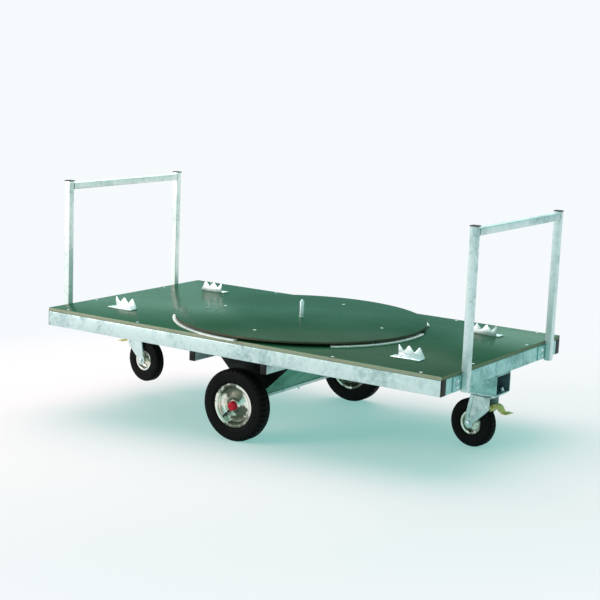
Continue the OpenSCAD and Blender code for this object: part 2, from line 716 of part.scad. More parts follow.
// Brake pedal: boss on the pin, arched arm with a tread plate, shoe hanging over the tyre
module brake_pedal_right() {
  color(yellow_zinc) swivelled() translate([swivel_offset + pedal_pin_x, 0, pedal_pin_z]) difference() {
    union() {
      rod_y(0, 0, -28, 28, 8);
      translate([0, 17, 0]) rotate([90, 0, 0]) linear_extrude(height = 34) polygon([
        [-2, 4], [4, -4], [20, 12.5], [38, 9.5], [52, -10], [60, -14.5], [89, -14.5], [89, -10.5], [61, -10.5],
        [55, -7], [41, 13.5], [19, 17.5]]);
      box([60, -28, -14.5], [29, 56, 4]);
      translate([0, 17, 0]) rotate([90, 0, 0]) linear_extrude(height = 34) polygon([
        [-9, -2], [7, -2], [7, -13], [2, -19.5], [-3.5, -18.5], [-9, -11]]);
    }
    rod_y(0, 0, -40, 40, pedal_pin_radius + bore_gap);
  }
}
module brake_pedal_left() { half_turn() brake_pedal_right(); }

// ---------------------------------------------------------------- assembly

deck_board();
deck_screws();
side_rail_near();
side_rail_far();
end_rail_left();
end_rail_right();
inner_bearers();
cross_beams();
tube_plugs();
castor_channel_left();
castor_channel_right();
trough_plate_left();
trough_plate_right();
trough_ends();
axle();
axle_bolt();
spindle_collars();
spindle_nuts();
wheel_rim_near();
wheel_rim_far();
wheel_tyre_near();
wheel_tyre_far();
hub_cap_near();
hub_cap_far();
valve_near();
valve_far();
edge_ring();
bearing_ring_lower();
bearing_ring_upper();
turntable_disc();
disc_screws();
pivot_pin();
pivot_nut();
bracket_near_left();
bracket_near_right();
bracket_far_left();
bracket_far_right();
bracket_screws();
post_left_near();
post_left_far();
post_right_near();
post_right_far();
crossbar_left();
crossbar_right();
handle_caps();
handle_lugs();
handle_bolts();
castor_plates();
castor_bolts();
kingpins();
fork_left();
fork_right();
fork_pins_left();
fork_pins_right();
castor_rim_left();
castor_rim_right();
castor_tyre_left();
castor_tyre_right();
brake_pedal_left();
brake_pedal_right();
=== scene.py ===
"""Looks of a platform truck.

A decked steel frame stands on wheels set in a diamond, and carries a turntable and two push frames.
"""

import logging
import math
from collections.abc import Iterable, Sequence
from dataclasses import dataclass, field
from enum import Enum

import bmesh
import bpy
from mathutils import Matrix, Vector


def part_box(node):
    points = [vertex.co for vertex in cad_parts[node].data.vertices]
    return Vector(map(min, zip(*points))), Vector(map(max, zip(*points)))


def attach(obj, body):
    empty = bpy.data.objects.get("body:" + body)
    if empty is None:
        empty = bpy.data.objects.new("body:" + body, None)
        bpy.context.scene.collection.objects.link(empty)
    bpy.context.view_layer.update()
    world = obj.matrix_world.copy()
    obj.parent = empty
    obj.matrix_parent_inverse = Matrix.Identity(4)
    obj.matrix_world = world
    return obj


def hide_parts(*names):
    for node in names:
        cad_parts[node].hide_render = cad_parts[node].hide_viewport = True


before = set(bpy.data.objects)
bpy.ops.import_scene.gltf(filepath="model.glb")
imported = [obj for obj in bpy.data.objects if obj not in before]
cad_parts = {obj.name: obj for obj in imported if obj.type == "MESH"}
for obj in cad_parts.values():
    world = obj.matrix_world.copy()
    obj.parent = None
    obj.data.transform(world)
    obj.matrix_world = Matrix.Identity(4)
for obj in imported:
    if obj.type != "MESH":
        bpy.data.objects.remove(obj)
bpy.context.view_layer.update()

LOG = logging.getLogger("truck")
MM = 0.001
FACING = 0.8
HALF_TURN = Matrix.Rotation(math.pi, 4, "Z")
IDENTITY = Matrix.Identity(4)
Colour = tuple[float, float, float]
Point = Sequence[float]
Outline = Iterable[tuple[float, float]]


class Side(Enum):
    """The two ends of the truck; the left end is the right one given half a turn."""

    LEFT = "left"
    RIGHT = "right"

    @property
    def turn(self) -> Matrix:
        """The turn that carries the right end's shape to this end."""
        return HALF_TURN if self is Side.LEFT else IDENTITY


class Flank(Enum):
    """The near and far long sides, as the sign of Y."""

    NEAR = -1
    FAR = 1

    @property
    def word(self) -> str:
        """The name as it stands in node names."""
        return self.name.lower()


# ---------------------------------------------------------------- shader arithmetic


class Value:
    """A shader socket that takes part in arithmetic."""

    def __init__(self, graph: "Graph", socket: bpy.types.NodeSocket) -> None:
        """Wraps a socket.

        Args:
            graph: The graph the socket belongs to.
            socket: An output socket.
        """
        self.graph = graph
        self.socket = socket

    def _math(self, operation: str, first: object, second: object) -> "Value":
        """Adds one Math node.

        Args:
            operation: The Math node's operation.
            first: The first term.
            second: The second term.

        Returns:
            The node's result.
        """
        return self.graph.node("ShaderNodeMath", {"operation": operation}, {0: first, 1: second})

    def __add__(self, other: object) -> "Value":
        """Adds a term."""
        return self._math("ADD", self, other)

    def __radd__(self, other: object) -> "Value":
        """Adds to a term."""
        return self._math("ADD", other, self)

    def __sub__(self, other: object) -> "Value":
        """Takes a term away."""
        return self._math("SUBTRACT", self, other)

    def __rsub__(self, other: object) -> "Value":
        """Is taken away from a term."""
        return self._math("SUBTRACT", other, self)

    def __mul__(self, other: object) -> "Value":
        """Multiplies by a term."""
        return self._math("MULTIPLY", self, other)

    def __rmul__(self, other: object) -> "Value":
        """Multiplies a term."""
        return self._math("MULTIPLY", other, self)

    def __truediv__(self, other: object) -> "Value":
        """Divides by a term."""
        return self._math("DIVIDE", self, other)

    def __rtruediv__(self, other: object) -> "Value":
        """Divides a term."""
        return self._math("DIVIDE", other, self)

    def __abs__(self) -> "Value":
        """The size without its sign."""
        return self._math("ABSOLUTE", self, 0.0)

    def __mod__(self, other: object) -> "Value":
        """What is left after whole steps of the term."""
        return self._math("FLOORED_MODULO", self, other)

    def __rmod__(self, other: object) -> "Value":
        """What is left of a term after whole steps of this."""
        return self._math("FLOORED_MODULO", other, self)

    def power(self, exponent: float) -> "Value":
        """This value to a power."""
        return self._math("POWER", self, exponent)

    def ramp(self, low: float, high: float) -> "Value":
        """Goes smoothly from 0 at low to 1 at high.

        Args:
            low: Where the rise starts.
            high: Where it ends.

        Returns:
            The eased value, from 0 to 1.
        """
        span = {"Value": self, "From Min": low, "From Max": high}
        return self.graph.node("ShaderNodeMapRange", {"interpolation_type": "SMOOTHSTEP"}, span)


class Graph:
    """One material's node tree, with a method that adds any node."""

    def __init__(self, name: str) -> None:
        """Makes an empty material.

        Args:
            name: The material's name.
        """
        self.material = bpy.data.materials.new(name)
        self.material.use_nodes = True
        self.tree = self.material.node_tree
        self.tree.nodes.clear()
        self._place: Value | None = None

    def node(
        self,
        kind: str,
        settings: dict[str, object] | None = None,
        inputs: dict[int | str, object] | None = None,
        out: int | str = 0,
    ) -> Value | None:
        """Adds a node.

        Args:
            kind: The node's type.
            settings: Its settings; "stops" gives a ramp's places and colours.
            inputs: Values or links of its sockets, by name or number.
            out: The output wanted.

        Returns:
            That output, or None where the node has none.
        """
        made = self.tree.nodes.new(kind)
        for key, value in (settings or {}).items():
            if key == "stops":
                elements = made.color_ramp.elements
                while len(elements) < len(value):
                    elements.new(0.5)
                for element, (place, colour) in zip(elements, value):
                    element.position = place
                    element.color = (*colour, 1.0)
            else:
                setattr(made, key, value)
        for key, value in (inputs or {}).items():
            if isinstance(value, Value):
                self.tree.links.new(value.socket, made.inputs[key])
            elif isinstance(value, tuple) and len(value) == 3 and made.inputs[key].type == "RGBA":
                made.inputs[key].default_value = (*value, 1.0)
            else:
                made.inputs[key].default_value = value
        return Value(self, made.outputs[out]) if made.outputs else None

    @property
    def place(self) -> Value:
        """Object coordinates, in metres."""
        if self._place is None:
            self._place = self.node("ShaderNodeTexCoord", out="Object")
        return self._place

    def axis(self, index: int) -> Value:
        """One of X, Y and Z of the place, by number."""
        return self.node("ShaderNodeSeparateXYZ", None, {0: self.place}, out=index)

    def stretched(self, x: float, y: float, z: float) -> Value:
        """The place, scaled along each axis."""
        inputs = {"Vector": self.place, "Scale": (x, y, z)}
        return self.node("ShaderNodeMapping", {"vector_type": "POINT"}, inputs)

    def noise(
        self, scale: float, detail: float = 3.0, roughness: float = 0.55, place: Value | None = None
    ) -> Value:
        """Soft noise.

        Args:
            scale: Waves to the metre.
            detail: Octaves.
            roughness: How strong the finer octaves are.
            place: Where it is read; the object's own place by default.

        Returns:
            A value around 0.5.
        """
        return self.node(
            "ShaderNodeTexNoise",
            {"noise_dimensions": "3D"},
            {"Vector": place or self.place, "Scale": scale, "Detail": detail, "Roughness": roughness},
        )

    def cells(self, scale: float, place: Value | None = None) -> Value:
        """A value that is constant over each crystal cell.

        Args:
            scale: Cells to the metre.
            place: Where it is read.

        Returns:
            A value from 0 to 1.
        """
        inputs = {"Vector": place or self.place, "Scale": scale}
        colour = self.node("ShaderNodeTexVoronoi", {"feature": "F1"}, inputs, "Color")
        return self.node("ShaderNodeSeparateColor", None, {0: colour})

    def mix(self, factor: object, first: object, second: object) -> Value:
        """Blends two colours.

        Args:
            factor: The second colour's share.
            first: A colour.
            second: A colour.

        Returns:
            The blended colour.
        """
        return self.node("ShaderNodeMix", {"data_type": "RGBA"}, {0: factor, 6: first, 7: second}, out=2)

    def bump(self, height: Value, depth: float, strength: float = 1.0) -> Value:
        """Turns a height into a normal.

        Args:
            height: The height, from 0 to 1.
            depth: The height of 1, in metres.
            strength: The share of the effect.

        Returns:
            The bent normal.
        """
        return self.node("ShaderNodeBump", None, {"Height": height, "Distance": depth, "Strength": strength})

    def surface(self, **sockets: object) -> None:
        """Ends the graph in the shader; words in socket names are joined by an underscore.

        Args:
            sockets: Values or links of the shader's sockets.
        """
        inputs = {key.replace("_", " "): value for key, value in sockets.items()}
        self.output(self.node("ShaderNodeBsdfPrincipled", None, inputs))

    def output(self, shader: Value) -> None:
        """Links a shader to the material's output."""
        self.node("ShaderNodeOutputMaterial", None, {"Surface": shader})


# ---------------------------------------------------------------- finishes


MADE: dict[str, bpy.types.Material] = {}


@dataclass(frozen=True)
class Finish:
    """A surface finish that makes its material once."""

    name: str

    def make(self) -> bpy.types.Material:
        """Returns the material, built the first time."""
        if self.name not in MADE:
            graph = Graph(self.name)
            self.paint(graph)
            MADE[self.name] = graph.material
        return MADE[self.name]

    def paint(self, graph: Graph) -> None:
        """Fills the graph."""
        raise NotImplementedError


@dataclass(frozen=True)
class Galvanised(Finish):
    """Hot-dip zinc: crystal spangle, pale bloom, run marks and duller patches."""

    bright: Colour = (0.65, 0.78, 0.77)
    dull: Colour = (0.32, 0.46, 0.46)
    bloom: Colour = (0.78, 0.85, 0.84)
    spangle: float = 62.0
    metallic: float = 0.62

    def paint(self, graph: Graph) -> None:
        """Fills the graph."""
        warp = graph.noise(14.0, 2.0)
        bent = {0: graph.place, 1: (1.0, 1.0, 1.0), 2: warp * 0.02}
        place = graph.node("ShaderNodeVectorMath", {"operation": "MULTIPLY_ADD"}, bent)
        crystal = graph.cells(self.spangle, place)
        fine = graph.cells(self.spangle * 2.6)
        cloud = graph.noise(4.6, 5.0, 0.62)
        patch = graph.noise(21.0, 4.0, 0.6)
        runs = graph.noise(9.0, 3.0, 0.5, graph.stretched(1.6, 1.6, 0.35))
        mottle = cloud.ramp(0.42, 0.66) * 0.55 + (crystal - 0.5) * 0.34 + (fine - 0.5) * 0.14
        dullness = (mottle + patch.ramp(0.5, 0.72) * 0.3).ramp(-0.1, 1.0)
        colour = graph.mix(dullness, self.bright, self.dull)
        colour = graph.mix(runs.ramp(0.55, 0.78) * 0.45, colour, self.bloom)
        rough = 0.34 + dullness * 0.22 + (fine - 0.5) * 0.08
        graph.surface(
            Base_Color=colour,
            Metallic=self.metallic,
            Roughness=rough,
            Normal=graph.bump(crystal * 0.5 + patch * 0.8, 0.00035, 0.55),
        )


@dataclass(frozen=True)
class BrightZinc(Finish):
    """Electroplated zinc: even and pale, with faint rolling lines and cloudy tarnish."""

    colour: Colour = (0.86, 0.92, 0.92)
    tarnish: Colour = (0.60, 0.70, 0.72)
    roughness: float = 0.3
    metallic: float = 0.7

    def paint(self, graph: Graph) -> None:
        """Fills the graph."""
        cloud = graph.noise(26.0, 4.0, 0.6)
        lines = graph.noise(60.0, 3.0, 0.6, graph.stretched(0.4, 4.0, 4.0))
        worn = cloud.ramp(0.45, 0.75)
        graph.surface(
            Base_Color=graph.mix(worn * 0.6 + lines * 0.15, self.colour, self.tarnish),
            Metallic=self.metallic,
            Roughness=self.roughness + worn * 0.16 + lines * 0.06,
            Normal=graph.bump(lines + cloud * 0.5, 0.00012, 0.5),
        )


@dataclass(frozen=True)
class SilverRim(Finish):
    """Pressed wheel steel with a shiny silver coat and soft dents; dark green patches fanned out along one line
    through the hub are painted reflection, broken up by real cloudy smudges and specks.
    """

    hub_height: float = 155 * MM
    colour: Colour = (0.86, 0.86, 0.77)
    grime: Colour = (0.03, 0.05, 0.025)
    roughness: float = 0.17

    def paint(self, graph: Graph) -> None:
        """Fills the graph."""
        cloud = graph.noise(24.0, 3.0, 0.6)
        speck = graph.noise(150.0, 2.0)
        across, up = graph.axis(0), graph.axis(2) - self.hub_height
        reach = (across * across + up * up).power(0.5) + 0.001
        # Painted reflection: the rim darkens in sectors fanned out along one line through the hub, mixed with cloudy
        # smudges and specks.
        painted_reflection_fan = abs(across * 0.42 - up * 0.91) / reach
        painted_reflection_and_dirt = (painted_reflection_fan * 0.75 + cloud * 2.2 - 0.95).ramp(0.5, 0.86) * 0.9 + speck.ramp(0.62, 0.8) * 0.1
        graph.surface(
            Base_Color=graph.mix(painted_reflection_and_dirt, self.colour, self.grime),
            Metallic=0.92,
            Roughness=self.roughness + painted_reflection_and_dirt * 0.35,
            Normal=graph.bump(cloud, 0.0022, 0.6),
        )


@dataclass(frozen=True)
class YellowZinc(Finish):
    """Yellow passivated zinc, with the greenish and reddish shimmer of its film."""

    def paint(self, graph: Graph) -> None:
        """Fills the graph."""
        cloud = graph.noise(38.0, 3.0)
        wear = graph.noise(120.0, 4.0)
        colour = graph.mix(cloud.ramp(0.35, 0.65), (0.70, 0.56, 0.18), (0.46, 0.48, 0.18))
        colour = graph.mix(wear.ramp(0.58, 0.8) * 0.6, colour, (0.78, 0.76, 0.62))
        graph.surface(
            Base_Color=colour,
            Metallic=0.75,
            Roughness=0.28 + wear * 0.16,
            Normal=graph.bump(wear, 0.0002, 0.4),
        )


@dataclass(frozen=True)
class FilmFace(Finish):
    """Phenolic film on plywood: glossy, dark green-brown, with scuffs and faint veneer show-through."""

    colour: Colour = (0.013, 0.072, 0.031)
    faded: Colour = (0.031, 0.112, 0.060)
    roughness: float = 0.2

    def paint(self, graph: Graph) -> None:
        """Fills the graph."""
        cloud = graph.noise(2.2, 4.0, 0.55)
        grain = graph.noise(30.0, 4.0, 0.6, graph.stretched(0.25, 3.0, 3.0))
        scuff = graph.noise(11.0, 6.0, 0.7, graph.stretched(1.0, 2.6, 1.0))
        dust = graph.noise(220.0, 2.0)
        worn = scuff.ramp(0.56, 0.74)
        colour = graph.mix(cloud.ramp(0.3, 0.75) * 0.7, self.colour, self.faded)
        colour = graph.mix(worn * 0.10 + dust.ramp(0.6, 0.8) * 0.05, colour, (0.14, 0.22, 0.17))
        graph.surface(
            Base_Color=colour,
            Roughness=self.roughness + worn * 0.16 + grain * 0.05 + dust * 0.03,
            IOR=1.07,
            Normal=graph.bump(grain * 0.7 + dust * 0.3, 0.0001, 0.35),
        )


@dataclass(frozen=True)
class PlyEdge(Finish):
    """Cut plywood edge: light and dark veneers in turn, sealed and a little chipped."""

    veneer: float = 1.45 * MM
    light: Colour = (0.48, 0.53, 0.37)
    dark: Colour = (0.13, 0.11, 0.06)

    def paint(self, graph: Graph) -> None:
        """Fills the graph."""
        wander = graph.noise(7.0, 3.0) * 0.0006
        layer = ((graph.axis(2) + wander) % (2 * self.veneer)) / (2 * self.veneer)
        end_grain = layer.ramp(0.42, 0.5) - layer.ramp(0.92, 1.0)
        fibre = graph.noise(420.0, 3.0, 0.6, graph.stretched(1.0, 1.0, 0.4))
        stain = graph.noise(9.0, 4.0, 0.6)
        colour = graph.mix(end_grain * 0.75 + fibre * 0.2, self.light, self.dark)
        colour = graph.mix(stain.ramp(0.5, 0.75) * 0.4, colour, (0.22, 0.15, 0.08))
        graph.surface(
            Base_Color=colour,
            Roughness=0.6 + fibre * 0.2,
            Normal=graph.bump(end_grain * 0.6 + fibre * 0.6, 0.0004, 0.7),
        )


@dataclass(frozen=True)
class Rubber(Finish):
    """Tyre rubber: nearly black, matt, with moulding grain, dust and a worn tread."""

    def paint(self, graph: Graph) -> None:
        """Fills the graph."""
        grain = graph.noise(520.0, 3.0, 0.6)
        dust = graph.noise(13.0, 5.0, 0.65)
        dusty = dust.ramp(0.5, 0.75)
        colour = graph.mix(dusty * 0.3 + grain * 0.1, (0.0016, 0.0016, 0.0017), (0.010, 0.010, 0.0095))
        graph.surface(
            Base_Color=colour,
            Roughness=0.52 + dusty * 0.25 + grain * 0.08,
            IOR=1.2,
            Normal=graph.bump(grain, 0.0003, 0.5),
        )


@dataclass(frozen=True)
class Moulded(Finish):
    """Moulded plastic with a fine spark-eroded texture."""

    colour: Colour = (0.006, 0.006, 0.007)
    worn: Colour = (0.03, 0.03, 0.03)
    roughness: float = 0.42
    grain_depth: float = 0.00018

    def paint(self, graph: Graph) -> None:
        """Fills the graph."""
        grain = graph.noise(900.0, 2.0)
        scuff = graph.noise(75.0, 5.0, 0.65)
        mark = scuff.ramp(0.58, 0.78)
        graph.surface(
            Base_Color=graph.mix(mark * 0.35, self.colour, self.worn),
            Roughness=self.roughness + mark * 0.2,
            IOR=1.28,
            Normal=graph.bump(grain, self.grain_depth, 0.4),
        )


@dataclass(frozen=True)
class StudioFloor(Finish):
    """Pale floor that fades into the pale surround far from the truck. Near the truck it glows teal: painted light
    that lifts its shadows, tints them teal and lights the truck from below, over a pinkish colour that evens out to
    white where the lamps fall.
    """

    colour: Colour = (0.69, 0.42, 0.45)
    glow: Colour = (0.20, 0.44, 0.41)
    surround: Colour = (0.921, 0.956, 0.982)

    def paint(self, graph: Graph) -> None:
        """Fills the graph."""
        away = graph.node("ShaderNodeVectorMath", {"operation": "LENGTH"}, {0: graph.place}, out="Value")
        plain = graph.node("ShaderNodeBsdfDiffuse", None, {"Color": self.colour})
        # Painted light: an even teal glow that lifts the shadows on the floor and tints them teal.
        lit = graph.node("ShaderNodeEmission", None, {"Color": self.glow, "Strength": 1.0})
        near = graph.node("ShaderNodeAddShader", None, {0: plain, 1: lit})
        far = graph.node("ShaderNodeEmission", None, {"Color": self.surround, "Strength": 1.0})
        graph.output(graph.node("ShaderNodeMixShader", None, {0: away.ramp(1.4, 3.0), 1: near, 2: far}))


ZINC = Galvanised("galvanised")
# A dark teal zinc for the trough plates and weld beads: partly their own dull green-grey tint, partly painted shade
# from under the deck.
TINT_AND_SHADE_ZINC = Galvanised("galvanised_sheet", (0.045, 0.27, 0.17), (0.02, 0.14, 0.09), (0.08, 0.34, 0.24), 44.0)
# Painted shade: a darker copy of the zinc for the end rails, castor channels and handle lugs at the truck's ends,
# standing for the shade on them.
SHADED_END_ZINC = Galvanised("galvanised_end", (0.34, 0.62, 0.60), (0.14, 0.32, 0.31), (0.52, 0.74, 0.72))
PALE_ZINC = Galvanised("galvanised_pale", (0.90, 0.94, 0.91), (0.62, 0.72, 0.69), (0.95, 0.96, 0.94))
# Painted shade: near black end plates for the trough, standing for the shade they lie in under the deck.
SHADED_TROUGH_END = Galvanised(
    "blackened_sheet", (0.014, 0.020, 0.018), (0.006, 0.008, 0.007), (0.02, 0.03, 0.027), metallic=0.9
)
# Painted shade: a darker zinc for the inside faces of the castor channels, standing for the shade in their hollow.
SHADED_INSIDE_ZINC = Galvanised(
    "channel_lining", (0.16, 0.27, 0.29), (0.06, 0.12, 0.14), (0.20, 0.32, 0.34), metallic=0.4
)
PLATED = BrightZinc("plated_steel")
RING_STEEL = BrightZinc("ring_steel", (0.94, 0.93, 0.89), (0.70, 0.69, 0.64), roughness=0.36, metallic=0.2)
BOLT_ZINC = BrightZinc("bolt_zinc", colour=(0.78, 0.88, 0.90), roughness=0.24, metallic=0.85)
RIM_STEEL = SilverRim("silver_rim")
PEDAL_ZINC = YellowZinc("passivated_steel")
FILM = FilmFace("deck_film")
DISC_FILM = FilmFace("disc_film", colour=(0.010, 0.064, 0.027), faded=(0.026, 0.102, 0.054))
PLY = PlyEdge("ply_edge")
# Painted shade: a darker copy of the ply edge for the deck board's end faces, standing for the shade on them.
SHADED_END_PLY = PlyEdge("ply_end", light=(0.17, 0.25, 0.13), dark=(0.05, 0.06, 0.03))
# Painted shade: the turntable disc's edge is near black, standing for the shade it lies in.
SHADED_DISC_EDGE = PlyEdge("disc_edge", light=(0.10, 0.10, 0.05), dark=(0.02, 0.018, 0.01))
RUBBER = Rubber("worn_rubber")
BLACK = Moulded("moulded_black")
RED = Moulded("moulded_red", (0.46, 0.008, 0.022), (0.60, 0.10, 0.09), roughness=0.24, grain_depth=0.00008)
FLOOR = StudioFloor("studio_floor")


# ---------------------------------------------------------------- shapes


class Shape:
    """A mesh under construction, in metres, made with bmesh operators."""

    def __init__(self) -> None:
        """Starts empty."""
        self.mesh = bmesh.new()

    def take(self, part: bmesh.types.BMesh, slot: int | None = 0, turn: Matrix = IDENTITY) -> None:
        """Adds a finished part and frees it.

        Args:
            part: The part's mesh.
            slot: The number of its finish; None leaves the numbers its faces have.
            turn: A turn or shift applied to it.
        """
        bmesh.ops.transform(part, matrix=turn, verts=part.verts)
        bmesh.ops.recalc_face_normals(part, faces=part.faces)
        if slot is not None:
            for face in part.faces:
                face.material_index = slot
        scratch = bpy.data.meshes.new("scratch")
        part.to_mesh(scratch)
        part.free()
        self.mesh.from_mesh(scratch)
        bpy.data.meshes.remove(scratch)

    @staticmethod
    def bevel(part: bmesh.types.BMesh, edges: Sequence[bmesh.types.BMEdge], width: float, segments: int) -> None:
        """Rounds the given edges of a part.

        Args:
            part: The part's mesh.
            edges: The edges.
            width: The rounding's width.
            segments: Its steps.
        """
        bmesh.ops.bevel(
            part, geom=edges, offset=width, offset_type="OFFSET", segments=segments, profile=0.5,
            affect="EDGES", clamp_overlap=True, material=-1,
        )

    @staticmethod
    def soften(part: bmesh.types.BMesh, width: float, segments: int = 2, angle: float = 28.0) -> None:
        """Rounds the sharp edges of a part.

        Args:
            part: The part's mesh.
            width: The rounding's width.
            segments: Its steps.
            angle: Edges sharper than this, in degrees, are rounded.
        """
        if width <= 0:
            return
        limit = math.radians(angle)
        edges = [e for e in part.edges if len(e.link_faces) == 2 and e.calc_face_angle(0.0) > limit]
        Shape.bevel(part, edges, width, segments)

    @staticmethod
    def box(low: Point, high: Point) -> bmesh.types.BMesh:
        """Makes a plain box.

        Args:
            low: Its lowest corner.
            high: Its highest corner.

        Returns:
            The box.
        """
        part = bmesh.new()
        bmesh.ops.create_cube(part, size=1.0)
        low_corner, high_corner = Vector(low), Vector(high)
        bmesh.ops.scale(part, vec=high_corner - low_corner, verts=part.verts)
        bmesh.ops.translate(part, vec=(low_corner + high_corner) / 2, verts=part.verts)
        return part

    def block(
        self, low: Point, high: Point, round_by: float = 0.8 * MM, slot: int = 0, turn: Matrix = IDENTITY
    ) -> None:
        """Adds a box with softened edges.

        Args:
            low: Its lowest corner.
            high: Its highest corner.
            round_by: The rounding's width.
            slot: The number of its finish.
            turn: A turn applied to it.
        """
        part = self.box(low, high)
        self.soften(part, round_by)
        self.take(part, slot, turn)

    def tube(
        self, low: Point, high: Point, along: int, wall: float, corner: float, slot: int = 0,
        turn: Matrix = IDENTITY, shaded_inside: int | None = None,
    ) -> None:
        """Adds a rectangular tube with rounded corners, open at both ends.

        Args:
            low: Its lowest corner.
            high: Its highest corner.
            along: The axis it runs along, by number.
            wall: The wall's thickness.
            corner: The outer corner radius.
            slot: The number of its finish.
            turn: A turn applied to it.
            shaded_inside: The number of its finish inside; None gives it the same as outside.
        """
        part = self.box(low, high)
        ends = [f for f in part.faces if abs(f.normal[along]) > 0.9]
        bmesh.ops.delete(part, geom=ends, context="FACES_ONLY")
        corners = [e for e in part.edges if abs((e.verts[0].co - e.verts[1].co)[along]) > 1e-6]
        self.bevel(part, corners, corner, 4)
        bmesh.ops.recalc_face_normals(part, faces=part.faces)
        bmesh.ops.solidify(part, geom=part.faces[:], thickness=wall)
        bmesh.ops.recalc_face_normals(part, faces=part.faces)
        middle = (Vector(low) + Vector(high)) / 2
        for face in part.faces:
            out = face.calc_center_median() - middle
            out[along] = 0.0
            face.material_index = slot if shaded_inside is None or out.dot(face.normal) > -1e-5 else shaded_inside
        self.take(part, None, turn)

    def rod(
        self, start: Point, end: Point, radius: float, steps: int = 32, round_by: float = 0.0, slot: int = 0,
        turn: Matrix = IDENTITY, spin: float = 0.0,
    ) -> None:
        """Adds a round or many-sided rod.

        Args:
            start: The middle of its first face.
            end: The middle of its last face.
            radius: Its radius.
            steps: Its sides; 6 makes a hexagon.
            round_by: The width its end edges are rounded by.
            slot: The number of its finish.
            turn: A turn applied to it.
            spin: A turn about its own axis, in degrees.
        """
        part = bmesh.new()
        first, last = Vector(start), Vector(end)
        run = last - first
        bmesh.ops.create_cone(
            part, cap_ends=True, cap_tris=False, segments=steps, radius1=radius, radius2=radius, depth=run.length,
        )
        if round_by > 0:
            rims = [e for e in part.edges if any(len(f.verts) > 4 for f in e.link_faces)]
            self.bevel(part, rims, round_by, 2)
        placed = Matrix.Translation((first + last) / 2) @ run.to_track_quat("Z", "Y").to_matrix().to_4x4()
        placed = placed @ Matrix.Rotation(math.radians(spin), 4, "Z")
        bmesh.ops.transform(part, matrix=placed, verts=part.verts)
        self.take(part, slot, turn)

    @staticmethod
    def lathe(outline: Outline, centre: Point, axis: int, steps: int) -> bmesh.types.BMesh:
        """Spins an outline about an axis.

        Args:
            outline: Points as radius and distance along the axis; it is closed back to its first point.
            centre: The point on the axis where the distance is zero.
            axis: The axis, by number.
            steps: Steps in the full turn.

        Returns:
            The turned part.
        """
        part = bmesh.new()
        out, up = Vector((1, 0, 0)), Vector((0, 1, 0)) if axis == 1 else Vector((0, 0, 1))
        middle = Vector(centre)
        points = [part.verts.new(middle + out * radius + up * height) for radius, height in outline]
        edges = [part.edges.new((a, b)) for a, b in zip(points, points[1:] + points[:1])]
        bmesh.ops.spin(
            part, geom=points + edges, cent=middle, axis=up, dvec=(0, 0, 0), angle=2 * math.pi, steps=steps,
            use_merge=True, use_duplicate=False,
        )
        bmesh.ops.remove_doubles(part, verts=part.verts, dist=1e-6)
        lonely = [e for e in part.edges if not e.link_faces]
        bmesh.ops.delete(part, geom=lonely, context="EDGES")
        return part

    def turned(
        self, outline: Outline, centre: Point, axis: int = 1, steps: int = 64, slot: int = 0,
        turn: Matrix = IDENTITY,
    ) -> None:
        """Adds a part made on the lathe.

        Args:
            outline: Points as radius and distance along the axis.
            centre: The point on the axis where the distance is zero.
            axis: The axis, by number.
            steps: Steps in the full turn.
            slot: The number of its finish.
            turn: A turn applied to it.
        """
        self.take(self.lathe(outline, centre, axis, steps), slot, turn)

    def arc(self, outline: Outline, start: float, end: float, steps: int, slot: int = 0) -> None:
        """Adds a segment of a ring about the Z axis, closed at both ends.

        Args:
            outline: Its section, as radius and height.
            start: The angle it starts at, in degrees.
            end: The angle it ends at, in degrees.
            steps: Steps along it.
            slot: The number of its finish.
        """
        part = bmesh.new()
        turn = Matrix.Rotation(math.radians(start), 4, "Z")
        points = [part.verts.new(turn @ Vector((radius, 0, height))) for radius, height in outline]
        edges = [part.edges.new((a, b)) for a, b in zip(points, points[1:] + points[:1])]
        bmesh.ops.spin(
            part, geom=points + edges, cent=(0, 0, 0), axis=(0, 0, 1), dvec=(0, 0, 0),
            angle=math.radians(end - start), steps=steps, use_merge=False, use_duplicate=False,
        )
        bmesh.ops.holes_fill(part, edges=[e for e in part.edges if len(e.link_faces) == 1], sides=0)
        self.take(part, slot)

    def plate(
        self, outline: Outline, start: float, thickness: float, round_by: float = 0.6 * MM, slot: int = 0,
        turn: Matrix = IDENTITY,
    ) -> None:
        """Adds a plate cut to an outline in X and Z, standing from one Y to another.

        Args:
            outline: Its corners as X and Z.
            start: The Y of its first face.
            thickness: Its thickness along Y.
            round_by: The rounding's width.
            slot: The number of its finish.
            turn: A turn applied to it.
        """
        part = bmesh.new()
        face = part.faces.new([part.verts.new((x, start, z)) for x, z in outline])
        lifted = bmesh.ops.extrude_face_region(part, geom=[face])["geom"]
        corners = [v for v in lifted if isinstance(v, bmesh.types.BMVert)]
        bmesh.ops.translate(part, vec=(0, thickness, 0), verts=corners)
        bmesh.ops.recalc_face_normals(part, faces=part.faces)
        self.soften(part, round_by)
        self.take(part, slot, turn)

    def hex_head(
        self, at: Point, towards: Point, across: float, height: float, washer: float = 0.0, slot: int = 0,
        turn: Matrix = IDENTITY,
    ) -> None:
        """Adds a hexagon head or nut with a washer under it.

        Args:
            at: The middle of the seat.
            towards: The way it stands out, of length one.
            across: The distance across its corners.
            height: The head's height.
            washer: The washer's radius; 0 leaves it out.
            slot: The number of its finish.
            turn: A turn applied to it.
        """
        seat, way = Vector(at), Vector(towards)
        if washer > 0:
            self.rod(seat, seat + way * 1.5 * MM, washer, 32, 0.3 * MM, slot, turn)
            seat = seat + way * 1.5 * MM
        self.rod(seat, seat + way * height, across / 2, 6, 0.0, slot, turn, spin=12)
        crown = seat + way * (height + 0.25 * MM)
        self.rod(seat + way * height * 0.7, crown, across * 0.44, 32, 0.4 * MM, slot, turn)

